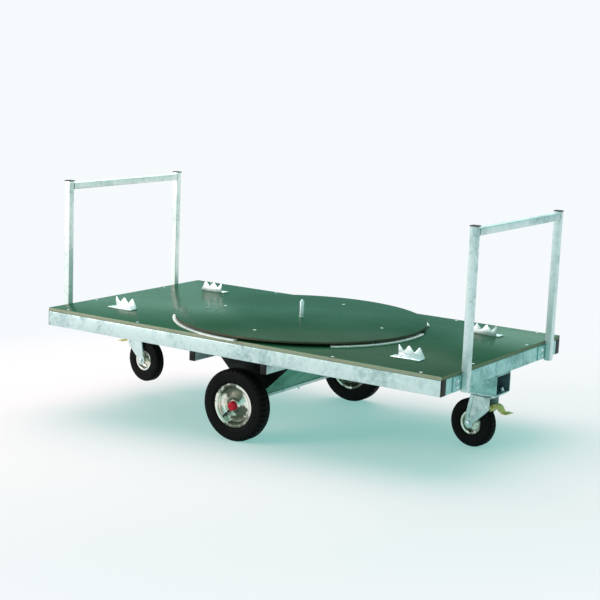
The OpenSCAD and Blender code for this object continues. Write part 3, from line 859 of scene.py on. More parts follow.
    def weld(
        self, start: Point, end: Point, radius: float = 2.2 * MM, slot: int = 0, turn: Matrix = IDENTITY
    ) -> None:
        """Adds a weld bead: a row of overlapping flattened drops.

        Args:
            start: Where the bead starts.
            end: Where it ends.
            radius: Its radius.
            slot: The number of its finish.
            turn: A turn applied to it.
        """
        part = bmesh.new()
        first, last = Vector(start), Vector(end)
        run = last - first
        count = max(2, int(run.length / (radius * 1.5)))
        for k in range(count):
            spot = first + run * ((k + 0.5) / count)
            at = Matrix.Translation(spot)
            bmesh.ops.create_uvsphere(part, u_segments=8, v_segments=5, radius=radius, matrix=at)
        self.take(part, slot, turn)

    def finish(
        self, name: str, body: str, slot: str, finishes: Sequence[Finish], replaces: Sequence[str] = (),
        crease: float = 34.0,
    ) -> bpy.types.Object:
        """Makes the object, dresses it and fixes it to its body.

        Args:
            name: The piece's name.
            body: The body it rides on.
            slot: Not used.
            finishes: Its finishes, by number.
            replaces: The CAD nodes it stands for.
            crease: Edges sharper than this, in degrees, stay sharp.

        Returns:
            The object.
        """
        mesh = bpy.data.meshes.new(name)
        self.mesh.to_mesh(mesh)
        self.mesh.free()
        for polygon in mesh.polygons:
            polygon.use_smooth = True
        mesh.set_sharp_from_angle(angle=math.radians(crease))
        for finish in finishes:
            mesh.materials.append(finish.make())
        piece = bpy.data.objects.new(name, mesh)
        bpy.context.scene.collection.objects.link(piece)
        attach(piece, body)
        if replaces:
            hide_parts(*replaces)
        LOG.info("%s: %d faces on %s", name, len(mesh.polygons), body)
        return piece


def by_facing(shape: Shape, level_slot: int, side_slot: int, end_slot: int | None = None) -> None:
    """Gives level faces one finish and the others another.

    Args:
        shape: The shape, which is changed.
        level_slot: The finish of faces that look up or down.
        side_slot: The finish of the rest.
        end_slot: The finish of faces that look along X, where it differs.
    """
    shape.mesh.normal_update()
    for face in shape.mesh.faces:
        face.material_index = level_slot if abs(face.normal.z) > FACING else side_slot
        if end_slot is not None and abs(face.normal.x) > FACING:
            face.material_index = end_slot


def dress(node: str, finish: Finish) -> None:
    """Gives a CAD node's object a finish.

    Args:
        node: The node's name.
        finish: Its finish.
    """
    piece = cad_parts[node]
    if not piece.material_slots:
        piece.data.materials.append(finish.make())
    for place in piece.material_slots:
        place.material = finish.make()
    LOG.info("%s: CAD shape in %s", node, finish.name)


# ---------------------------------------------------------------- sub-assemblies


@dataclass
class Deck:
    """The plywood board and the screws that hold it down."""

    edge_round: float = 1.2 * MM
    head_radius: float = 6.2 * MM
    head_rise: float = 0.35 * MM
    slot_half: tuple[float, float] = (3.2 * MM, 0.55 * MM)
    screws: Sequence[tuple[float, float]] = tuple(
        (x, y) for x in (-0.9, -0.5, 0.5, 0.9) for y in (-0.53, 0.53)
    ) + tuple((x, y) for x in (-0.98, 0.98) for y in (-0.25, 0.25))

    def build(self) -> None:
        """Builds the board and its screws."""
        low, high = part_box("deck_board")
        board = Shape()
        board.block(low, high, self.edge_round)
        # Faces looking along X take the darker ply edge: painted shade.
        by_facing(board, 0, 1, 2)
        board.finish("deck_board_ply", "frame", "film_ply", [FILM, PLY, SHADED_END_PLY], ["deck_board"], 60.0)
        heads = Shape()
        for x, y in self.screws:
            top = (x, y, high.z + self.head_rise)
            heads.rod((x, y, high.z - 1 * MM), top, self.head_radius, 24, 0.3 * MM)
            reach, half = self.slot_half
            # Each slot is a thin black bar laid on the head: painted shade of the slot.
            for spin in (0, 90):
                turn = Matrix.Translation((x, y, high.z)) @ Matrix.Rotation(math.radians(spin + 20), 4, "Z")
                heads.block((-reach, -half, 0.1 * MM), (reach, half, 0.42 * MM), 0.0, 1, turn)
        heads.finish("deck_screw_heads", "frame", "bright_zinc", [PLATED, BLACK], ["deck_screws"])


@dataclass
class Chassis:
    """Rails, beams, bearers, channels, plugs and the weld beads between them."""

    wall: float = 2.5 * MM
    corner: float = 4.0 * MM
    beam_offset: float = 183 * MM
    beam_half: float = 15 * MM
    channel_wall: float = 4 * MM
    plug_wall: float = 3 * MM

    def build(self) -> None:
        """Builds all of the chassis."""
        for flank in Flank:
            self.straight(f"side_rail_{flank.word}", 0)
        for side in Side:
            self.straight(f"end_rail_{side.value}", 1)
            self.channel(side)
        self.pairs("inner_bearers", 40 * MM)
        self.pairs("cross_beams", 2 * self.beam_half)
        self.plugs()
        self.welds()

    def straight(self, node: str, along: int) -> None:
        """Builds one rail over its CAD node.

        Args:
            node: The node's name.
            along: The axis it runs along.
        """
        low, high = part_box(node)
        rail = Shape()
        rail.tube(low, high, along, self.wall, self.corner)
        # End rails take the darker copy of the zinc: painted shade.
        rail.finish(f"{node}_tube", "frame", "zinc", [SHADED_END_ZINC if along else ZINC], [node])

    def pairs(self, node: str, width: float) -> None:
        """Builds a pair of tubes across the truck that share a node, one at each end of its box.

        Args:
            node: The node's name.
            width: Each tube's width along X.
        """
        low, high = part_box(node)
        tubes = Shape()
        tubes.tube(low, (low.x + width, high.y, high.z), 1, self.wall, self.corner)
        tubes.tube((high.x - width, low.y, low.z), high, 1, self.wall, self.corner)
        tubes.finish(f"{node}_tubes", "frame", "zinc", [ZINC], [node])

    def channel(self, side: Side) -> None:
        """Builds a castor channel."""
        low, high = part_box("castor_channel_right")
        node = f"castor_channel_{side.value}"
        box = Shape()
        # The channel takes the darker copy of the zinc outside and a darker zinc on its inside faces: both painted
        # shade.
        box.tube(low, high, 0, self.channel_wall, 6 * MM, turn=side.turn, shaded_inside=1)
        box.finish(f"{node}_tube", "frame", "zinc", [SHADED_END_ZINC, SHADED_INSIDE_ZINC], [node])

    def plugs(self) -> None:
        """Builds the black plugs: a plate over each tube end with a block that fits inside it."""
        low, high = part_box("tube_plugs")
        rail_low, rail_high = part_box("side_rail_near")
        beam_low, beam_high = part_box("cross_beams")
        width, half, inset = rail_high.y - rail_low.y, self.beam_half, self.plug_wall
        plugs = Shape()
        for turn in (IDENTITY, HALF_TURN):
            for y in (low.y, high.y - width):
                plugs.block(
                    (rail_high.x, y, rail_low.z), (high.x, y + width, rail_high.z), 1.2 * MM, turn=turn
                )
                start = (rail_high.x - 12 * MM, y + inset, rail_low.z + inset)
                plugs.block(start, (rail_high.x, y + width - inset, rail_high.z - inset), 0.5 * MM, turn=turn)
            for x in (-self.beam_offset, self.beam_offset):
                end = (x + half, beam_low.y, beam_high.z)
                plugs.block((x - half, low.y, beam_low.z), end, 0.9 * MM, turn=turn)
                start = (x - half + inset, beam_low.y, beam_low.z + inset)
                end = (x + half - inset, beam_low.y + 10 * MM, beam_high.z - inset)
                plugs.block(start, end, 0.5 * MM, turn=turn)
        plugs.finish("tube_plugs_black", "frame", "black_plastic", [BLACK], ["tube_plugs"])

    def welds(self) -> None:
        """Adds weld beads where rails, beams, channels and bearers meet."""
        rail_low, rail_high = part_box("side_rail_near")
        end_low, end_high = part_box("end_rail_right")
        channel_low, channel_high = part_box("castor_channel_right")
        beads = Shape()
        for turn in (IDENTITY, HALF_TURN):
            for y in (end_low.y, end_high.y):
                z, corner = end_low.z + 0.6 * MM, self.corner
                beads.weld((end_low.x + corner, y, z), (end_high.x - corner, y, z), turn=turn)
                beads.weld((end_low.x, y, end_low.z + corner), (end_low.x, y, end_high.z - corner), turn=turn)
            for y in (channel_low.y, channel_high.y):
                z = channel_high.z
                beads.weld((end_low.x + 3 * MM, y, z), (end_high.x - 2 * MM, y, z), turn=turn)
            for x in (self.beam_offset - self.beam_half, self.beam_offset + self.beam_half):
                start = (x, rail_low.y + self.corner, rail_low.z)
                beads.weld(start, (x, rail_high.y - self.corner, rail_low.z), turn=turn)
        beads.finish("frame_welds", "frame", "zinc", [TINT_AND_SHADE_ZINC])


@dataclass
class AxleTrough:
    """The two sloping plates, their end plates, the axle and its small parts."""

    half_length: float = 352 * MM
    sheet: float = 4 * MM
    lip: tuple[float, float] = (30 * MM, 22 * MM)
    foot_half: float = 25 * MM
    bar_half: tuple[float, float] = (28 * MM, 380 * MM)
    spindle_radius: float = 10 * MM
    tip_radius: float = 9.6 * MM
    bolt_threads: int = 5

    def build(self) -> None:
        """Builds the trough and the axle."""
        low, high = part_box("trough_plate_right")
        lip, drop = self.lip
        outline = [
            (low.x, low.z), (low.x + 5 * MM, low.z), (high.x - 6 * MM, high.z - self.sheet),
            (high.x, high.z - self.sheet), (high.x, high.z), (high.x - lip, high.z),
            (high.x - lip, high.z - drop),
        ]
        for side in Side:
            sheet = Shape()
            sheet.plate(outline, -self.half_length, 2 * self.half_length, 1.0 * MM, turn=side.turn)
            node = f"trough_plate_{side.value}"
            # The trough plates take the dark teal zinc: partly their own tint, partly painted shade.
            sheet.finish(f"{node}_sheet", "frame", "zinc", [TINT_AND_SHADE_ZINC], [node])
        ends = Shape()
        end_low, end_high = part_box("trough_ends")
        shape = [
            (-self.foot_half, end_low.z), (self.foot_half, end_low.z),
            (end_high.x, end_high.z), (end_low.x, end_high.z),
        ]
        for start in (end_low.y, end_high.y - self.sheet):
            ends.plate(shape, start, self.sheet, 0.8 * MM)
        # The end plates are near black: painted shade.
        ends.finish("trough_end_sheets", "frame", "zinc", [SHADED_TROUGH_END], ["trough_ends"])
        self.axle()

    def axle(self) -> None:
        """Builds the axle bar with turned spindles, and its bolt."""
        low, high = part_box("axle")
        middle = low.z + self.spindle_radius
        half, reach = self.bar_half
        bar = Shape()
        bar.block((-half, -reach, middle + 4 * MM), (half, reach, middle + 16 * MM), 1.5 * MM)
        for flank in Flank:
            sign = flank.value
            seat = (0, sign * (reach + 100 * MM), middle)
            bar.rod((0, sign * (reach - 20 * MM), middle), seat, self.spindle_radius, 40)
            bar.rod(seat, (0, high.y * sign, middle), self.tip_radius, 40, 1.5 * MM)
            bar.weld((-9 * MM, sign * reach, middle + 6 * MM), (9 * MM, sign * reach, middle + 6 * MM))
        bar.finish("axle_bar", "frame", "zinc", [ZINC], ["axle"])
        bolt_low, bolt_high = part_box("axle_bolt")
        bolt = Shape()
        bolt.rod((0, 0, bolt_low.z), (0, 0, bolt_high.z), 4.8 * MM, 24, 0.8 * MM)
        for k in range(self.bolt_threads):
            z = bolt_low.z + (2 + 2.2 * k) * MM
            bolt.rod((0, 0, z), (0, 0, z + 1.1 * MM), 5.0 * MM, 24, 0.4 * MM)
        bolt.hex_head((0, 0, bolt_high.z), (0, 0, -1), 17 * MM, 6.2 * MM)
        bolt.finish("axle_bolt_hex", "frame", "zinc", [BOLT_ZINC], ["axle_bolt"])
        dress("spindle_collars", BOLT_ZINC)
        dress("spindle_nuts", BOLT_ZINC)


@dataclass
class Tyre:
    """A pneumatic tyre with ribs round it and cuts across its shoulders."""

    radius: float
    width: float
    bead: float
    centre: Point
    turn: Matrix = IDENTITY
    steps: int = 120
    groove: float = 3 * MM
    cut_every: int = 3
    cut_depth: float = 2.4 * MM
    crown: float = 1.2 * MM

    def outline(self) -> list[tuple[float, float]]:
        """The section, as radius and distance from the centre plane."""
        half, radius, bead = self.width / 2, self.radius, self.bead
        rib = half * 0.55
        wall = (
            (0, 0.665), (0.14, 0.76), (0.2, 0.80), (0.22, 0.875), (0.30, 0.945), (0.34, 0.955), (0.36, 0.985),
            (0.54, 0.998), (0.62, 0.975), (0.64, 0.99), (0.70, 0.975), (0.80, 0.93), (0.90, 0.84),
            (0.965, 0.72),
        )
        side = [(bead + rise * (radius - bead), half * out) for rise, out in wall]
        floor = radius - self.groove
        tread = [
            (radius, rib), (radius, rib * 0.52), (floor, rib * 0.48), (floor, rib * 0.36),
            (radius, rib * 0.32)
        ]
        upper = side + tread
        return [(r, -y) for r, y in upper] + [(r, y) for r, y in reversed(upper)]

    def shape(self) -> Shape:
        """The tyre with its shoulder cuts."""
        part = Shape.lathe(self.outline(), self.centre, 1, self.steps)
        bmesh.ops.recalc_face_normals(part, faces=part.faces)
        middle = Vector(self.centre)
        cuts = []
        for face in part.faces:
            spot = face.calc_center_median() - middle
            reach = math.hypot(spot.x, spot.z)
            off = abs(spot.y)
            step = int(round(math.atan2(spot.z, spot.x) / (2 * math.pi) * self.steps - 0.5)) % self.steps
            on_rib = reach > self.radius - self.crown and self.width * 0.15 < off < self.width * 0.28
            on_shoulder = self.radius * 0.93 < reach <= self.radius - self.crown and off > self.width * 0.3
            if step % self.cut_every == 0 and (on_rib or on_shoulder):
                cuts.append(face)
        bmesh.ops.inset_individual(
            part, faces=cuts, thickness=0.5 * MM, depth=-self.cut_depth, use_even_offset=True
        )
        made = Shape()
        made.take(part, 0, self.turn)
        return made


@dataclass
class MiddleWheel:
    """One of the two wheels on the fixed axle: tyre, silver rim, red cap and valve."""

    flank: Flank
    radius: float = 155 * MM
    width: float = 70 * MM
    track_half: float = 470 * MM
    bead: float = 84.3 * MM
    hub_outer: float = 26 * MM
    valve_offset: float = 18 * MM

    @property
    def centre(self) -> Vector:
        """The wheel's centre."""
        return Vector((0, self.flank.value * self.track_half, self.radius))

    def build(self) -> None:
        """Builds the whole wheel."""
        word, sign = self.flank.word, self.flank.value
        body = f"wheel_{word}"
        tyre = Tyre(self.radius, self.width, self.bead, self.centre)
        tyre.shape().finish(f"tyre_{word}", body, "tyre_rubber", [RUBBER], [f"wheel_tyre_{word}"], 30.0)
        self.rim(word, sign, body)
        cap = Shape()
        face = self.centre + Vector((0, sign * self.hub_outer, 0))
        cap.turned(
            [(r * MM, sign * y * MM) for r, y in (
                (17.5, 0.3), (20.5, 0.3), (20.5, 2.5), (19.6, 3.2), (19.6, 13.5), (19.2, 15.6),
                (18.0, 17.4), (15.6, 18.8), (12.0, 19.8),
                (7.0, 20.4), (0.0, 20.6), (0.0, 18.6), (12.0, 17.8), (17.4, 14.5))],
            face, 1, 48,
        )
        cap.finish(f"hub_cap_{word}_red", body, "red_plastic", [RED], [f"hub_cap_{word}"], 50.0)
        valve = Shape()
        lean = math.radians(225 if sign < 0 else -45)
        way = Vector((math.cos(lean), 0, math.sin(lean)))
        seat = self.centre + Vector((0, sign * self.valve_offset, 0))
        valve.rod(seat + way * 81 * MM, seat + way * 56 * MM, 4.0 * MM, 20, 0.8 * MM)
        valve.rod(seat + way * 57 * MM, seat + way * 45 * MM, 2.6 * MM, 20)
        for k in range(4):
            valve.rod(seat + way * (55 - 2 * k) * MM, seat + way * (54.2 - 2 * k) * MM, 2.9 * MM, 20)
        valve.rod(seat + way * 46 * MM, seat + way * 36.5 * MM, 3.9 * MM, 20, 0.9 * MM)
        valve.finish(f"valve_{word}_stem", body, "black_plastic", [BLACK], [f"valve_{word}"])

    def rim(self, word: str, sign: int, body: str) -> None:
        """Builds the rim with its rolled edge, dished disc and hub, and black discs at three holes.

        Args:
            word: The flank's word.
            sign: The way its dish opens, as the sign of Y.
            body: The body it rides on.
        """
        rim = Shape()
        outline = [
            (10.05, -42), (19, -42), (24, -38), (24, -6), (40, -3), (58, 0), (69, -2.5), (76, -9),
            (80.2, -18), (81, -26),
            (84, -29.4), (89, -30.4), (94, -29.6), (94.8, -28), (93, -27), (87.5, -26.4), (84.4, -23.5),
            (83.2, -18), (81.8, -12),
            (81.8, 12), (83.2, 18), (84.4, 23.5), (87.5, 26.4), (93, 27), (94.8, 28), (94, 29.6),
            (89, 30.4), (84, 29.4), (80.8, 26.6),
            (79.2, 21), (77, 13.5), (73.4, 8.2), (67, 5.2), (60, 5.0), (52, 7.4), (44, 11.0), (37, 13.6),
            (32.5, 15.4), (29.5, 18.6),
            (27.6, 22), (25, 24.4), (21, 25.8), (10.05, 26),
        ]
        rim.turned([(r * MM, sign * y * MM) for r, y in outline], self.centre, 1, 96)
        # Three black discs at the rim's holes: painted shade of the holes.
        for angle, reach in ((0.12, 73.5), (2.4, 52.0), (4.6, 52.0)):
            hole = self.centre + Vector((reach * MM * math.cos(angle), 0, reach * MM * math.sin(angle)))
            rise = 8.6 if reach > 60 else 7.6
            rim.rod(
                hole + Vector((0, sign * (rise - 4) * MM, 0)),
                hole + Vector((0, sign * (rise + 0.25) * MM, 0)), 4.4 * MM, 20, 0.3 * MM, 1
            )
        rim.finish(f"rim_{word}", body, "bright_zinc", [RIM_STEEL, BLACK], [f"wheel_rim_{word}"], 42.0)


@dataclass
class Turntable:
    """The turning disc, its steel edge ring, bearing rings, screws and centre pin."""

    screw_circle: float = 400 * MM
    ring_width: float = 35 * MM
    segments: Sequence[tuple[float, float]] = ((-44, 12), (32, 94), (136, 192), (212, 274))
    pin_radius: float = 9.5 * MM
    journal: float = 12 * MM

    def build(self) -> None:
        """Builds every piece of the turntable."""
        self.disc()
        self.edge_ring()
        self.ring("bearing_ring_lower", 380 * MM, "frame", "zinc", ZINC, 96)
        self.ring("bearing_ring_upper", 380 * MM, "turntable", "zinc", ZINC, 96)
        self.screws()
        self.pin()

    def disc(self) -> None:
        """Builds the disc of film-faced plywood."""
        low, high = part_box("turntable_disc")
        radius = 558 * MM
        base, top, soft = low.z, high.z, 0.8 * MM
        disc = Shape()
        disc.turned(
            [(self.journal + 0.05 * MM, base), (radius - soft, base), (radius, base + soft), (radius, top - soft), (
                radius - 0.3 * soft, top - 0.3 * soft
            ),
             (radius - soft, top), (self.journal + 0.05 * MM, top)],
            (0, 0, 0), 2, 168,
        )
        # The disc's edge takes the near black ply: painted shade.
        by_facing(disc, 0, 1)
        disc.finish(
            "turntable_disc_ply", "turntable", "film_ply", [DISC_FILM, SHADED_DISC_EDGE], ["turntable_disc"], 50.0
        )

    def edge_ring(self) -> None:
        """Builds the four segments of the edge ring."""
        low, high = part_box("edge_ring")
        inner, outer, soft = high.y - self.ring_width, high.y, 0.7 * MM
        outline = [
            (inner, low.z + soft), (inner + soft, low.z), (outer - soft, low.z), (outer, low.z + soft),
            (outer, high.z - soft),
            (outer - soft, high.z), (inner + soft, high.z), (inner, high.z - soft),
        ]
        ring = Shape()
        for start, end in self.segments:
            ring.arc(outline, start, end, 48)
        ring.finish("edge_ring_segments", "frame", "bright_zinc", [RING_STEEL], ["edge_ring"])

    def ring(self, node: str, inner: float, body: str, slot: str, finish: Finish, steps: int) -> None:
        """Builds a flat steel ring over its CAD node.

        Args:
            node: The node's name.
            inner: The inner radius.
            body: The body it rides on.
            slot: The record's slot.
            finish: Its finish.
            steps: Steps in the full turn.
        """
        low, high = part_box(node)
        outer, soft = min(high.x, high.y), 0.7 * MM
        ring = Shape()
        ring.turned(
            [(inner, low.z + soft), (inner + soft, low.z), (outer - soft, low.z), (outer, low.z + soft), (
                outer, high.z - soft
            ),
             (outer - soft, high.z), (inner + soft, high.z), (inner, high.z - soft)],
            (0, 0, 0), 2, steps,
        )
        ring.finish(f"{node}_steel", body, slot, [finish], [node])

    def screws(self) -> None:
        """Builds the countersunk heads just below the disc's face, each with a thin black bar on top: painted shade
        of its slot.
        """
        low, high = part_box("turntable_disc")
        heads = Shape()
        for k in range(4):
            angle = math.radians(4 + 90 * k)
            spot = Vector((self.screw_circle * math.cos(angle), self.screw_circle * math.sin(angle), high.z))
            heads.turned(
                [(0, -4 * MM), (3 * MM, -4 * MM), (7.2 * MM, 0), (6.9 * MM, 0.25 * MM), (3 * MM, 0.4 * MM), (0, 0.42 * MM)],
                spot, 2, 28
            )
            heads.block(
                (-5 * MM, -0.6 * MM, 0.1 * MM), (5 * MM, 0.6 * MM, 0.5 * MM), 0.0, 1,
                Matrix.Translation(spot) @ Matrix.Rotation(angle + 0.6, 4, "Z")
            )
        heads.finish("disc_screw_heads", "turntable", "bright_zinc", [PLATED, BLACK], ["disc_screws"])

    def pin(self) -> None:
        """Builds the centre pin with its collar and rounded point."""
        low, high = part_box("pivot_pin")
        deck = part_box("deck_board")[1].z
        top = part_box("turntable_disc")[1].z
        pin = Shape()
        outline = [
            (0, low.z), (7.4 * MM, low.z), (8 * MM, low.z + 1 * MM), (8 * MM, deck), (26 * MM, deck),
            (26 * MM, deck + 3.4 * MM), (25.4 * MM, deck + 4 * MM),
            (self.journal, deck + 4 * MM), (self.journal, top - 0.6 * MM), (self.journal - 0.6 * MM, top),
            (self.pin_radius, top),
            (self.pin_radius, high.z - 12 * MM), (8.6 * MM, high.z - 9.2 * MM), (6.4 * MM, high.z - 4 * MM),
            (3.8 * MM, high.z - 0.7 * MM), (2.6 * MM, high.z), (0, high.z),
        ]
        pin.turned(outline, (0, 0, 0), 2, 48)
        pin.finish("pivot_pin_turned", "frame", "bright_zinc", [PLATED], ["pivot_pin"])
        dress("pivot_nut", BOLT_ZINC)


@dataclass
class ToothedBrackets:
    """Four angle brackets with three teeth each, and their screws."""

    pitch: float = 48 * MM
    height: float = 47 * MM
    thick: float = 4 * MM
    flange: float = 40 * MM
    places: dict[str, tuple[float, float, Matrix]] = field(default_factory=lambda: {
        "near_left": (-806 * MM, -316 * MM, IDENTITY),
        "near_right": (685 * MM, -330 * MM, IDENTITY),
        "far_right": (-806 * MM, -316 * MM, HALF_TURN),
        "far_left": (685 * MM, -330 * MM, HALF_TURN),
    })

    def build(self) -> None:
        """Builds the four brackets and their screws."""
        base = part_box("bracket_near_left")[0].z
        screws = Shape()
        for name, (x, y, turn) in self.places.items():
            placed = turn @ Matrix.Translation((x, y, base))
            p, h, bracket = self.pitch, self.height, Shape()
            teeth = [
                (0, 0), (2.5 * p, 0), (2.5 * p, 8 * MM), (2 * p + 2 * MM, h - 0.6 * MM), (2 * p, h),
                (2 * p - 2 * MM, h - 0.6 * MM), (1.5 * p + 1 * MM, h * 0.5), (1.5 * p - 1 * MM, h * 0.5),
                (p + 2 * MM, h - 0.6 * MM), (p, h), (p - 2 * MM, h - 0.6 * MM), (0.5 * p + 1 * MM, h * 0.5),
                (0.5 * p - 1 * MM, h * 0.5), (3 * MM, h - 0.6 * MM), (1.5 * MM, h), (0, h - 1.5 * MM),
            ]
            bracket.plate(teeth, 0.0, self.thick, 0.7 * MM, turn=placed)
            bracket.block(
                (-14 * MM, -self.flange, 0), (2.5 * p - 2 * MM, 2 * MM, self.thick), 0.9 * MM, turn=placed
            )
            bracket.weld(
                (4 * MM, -0.6 * MM, self.thick), (2.5 * p - 6 * MM, -0.6 * MM, self.thick), 1.6 * MM,
                turn=placed
            )
            bracket.finish(
                f"bracket_{name}_steel", "frame", "bright_zinc", [PLATED], [f"bracket_{name}"], 40.0
            )
            for sx in (22 * MM, 84 * MM):
                seat = placed @ Matrix.Translation((sx, -22 * MM, self.thick))
                screws.turned(
                    [(0, 0), (6.5 * MM, 0), (6.3 * MM, 1.0 * MM), (5.4 * MM, 2.3 * MM), (3.4 * MM, 3.1 * MM), (0, 3.35 * MM)], (0, 0, 0), 2, 24, turn=seat,
                )
                # The slot is a thin black bar on the head: painted shade of the slot.
                screws.block(
                    (-3.6 * MM, -0.6 * MM, 2.4 * MM), (3.6 * MM, 0.6 * MM, 3.38 * MM), 0.0, 1,
                    seat @ Matrix.Rotation(0.5, 4, "Z")
                )
        screws.finish("bracket_screw_heads", "frame", "bright_zinc", [PLATED, BLACK], ["bracket_screws"])


@dataclass
class PushFrames:
    """Posts, crossbars, caps, lugs and bolts of both push frames."""

    wall: float = 2 * MM
    corner: float = 3.2 * MM
    lug_bolt_out: float = 40 * MM
    bolt_levels: tuple[float, float] = (21 * MM, 46 * MM)

    def build(self) -> None:
        """Builds both frames."""
        for side in Side:
            zinc = PALE_ZINC if side is Side.LEFT else ZINC
            for flank in Flank:
                node = f"post_{side.value}_{flank.word}"
                low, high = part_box(node)
                post = Shape()
                post.tube(low, high, 2, self.wall, self.corner)
                post.finish(f"{node}_tube", "frame", "zinc", [zinc], [node])
            node = f"crossbar_{side.value}"
            low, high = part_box(node)
            bar = Shape()
            bar.tube(low, high, 1, self.wall, self.corner)
            bar.finish(f"{node}_tube", "frame", "zinc", [zinc], [node])
        self.small_parts()

    def small_parts(self) -> None:
        """Builds caps, lugs, welds and bolts for every post."""
        caps, lugs, bolts, beads = Shape(), Shape(), Shape(), Shape()
        rail_low, rail_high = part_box("end_rail_right")
        bar_low, bar_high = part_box("crossbar_right")
        for turn in (IDENTITY, HALF_TURN):
            for word in ("near", "far"):
                low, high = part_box(f"post_right_{word}")
                caps.block(
                    (low.x - 2 * MM, low.y - 2 * MM, high.z),
                    (high.x + 2 * MM, high.y + 2 * MM, high.z + 4 * MM), 1.3 * MM, turn=turn
                )
                caps.block(
                    (low.x + 3 * MM, low.y + 3 * MM, high.z - 11 * MM),
                    (high.x - 3 * MM, high.y - 3 * MM, high.z + 1 * MM), 0.5 * MM, turn=turn
                )
                lugs.block(
                    (low.x, low.y - 68 * MM, rail_low.z + 3 * MM),
                    (low.x + 5 * MM, low.y, rail_high.z - 3 * MM), 1.2 * MM, turn=turn
                )
                beads.weld(
                    (low.x + 5 * MM, low.y, rail_low.z + 6 * MM),
                    (low.x + 5 * MM, low.y, rail_high.z - 6 * MM), turn=turn
                )
                beads.weld(
                    (low.x + 1 * MM, high.y, rail_low.z + 3 * MM),
                    (low.x + 1 * MM, high.y, rail_high.z - 3 * MM), turn=turn
                )
                for level in self.bolt_levels:
                    spot = Vector((low.x + 5 * MM, low.y - self.lug_bolt_out, rail_low.z + level))
                    bolts.hex_head(spot, (1, 0, 0), 15 * MM, 5.3 * MM, 8.4 * MM, turn=turn)
                    inner = Vector((rail_low.x, spot.y, spot.z))
                    bolts.hex_head(inner, (-1, 0, 0), 15 * MM, 6.2 * MM, turn=turn)
                    bolts.rod(inner, inner - Vector((9.8 * MM, 0, 0)), 4 * MM, 20, 0.5 * MM, turn=turn)
            for y in (bar_low.y, bar_high.y):
                inward = 1 if y < 0 else -1
                for x in (bar_low.x, bar_high.x):
                    beads.weld(
                        (x, y + inward * 0.4 * MM, bar_low.z + 3 * MM),
                        (x, y + inward * 0.4 * MM, bar_high.z - 3 * MM), 1.4 * MM, turn=turn
                    )
                beads.weld(
                    (bar_low.x + 3 * MM, y + inward * 0.4 * MM, bar_low.z),
                    (bar_high.x - 3 * MM, y + inward * 0.4 * MM, bar_low.z), 1.6 * MM, turn=turn
                )
        caps.finish("handle_caps_black", "frame", "black_plastic", [BLACK], ["handle_caps"])
        # The lugs take the darker copy of the zinc: painted shade.
        lugs.finish("handle_lugs_steel", "frame", "zinc", [SHADED_END_ZINC], ["handle_lugs"])
        bolts.finish("handle_bolts_hex", "frame", "bright_zinc", [BOLT_ZINC], ["handle_bolts"])
        beads.finish("push_frame_welds", "frame", "zinc", [TINT_AND_SHADE_ZINC])


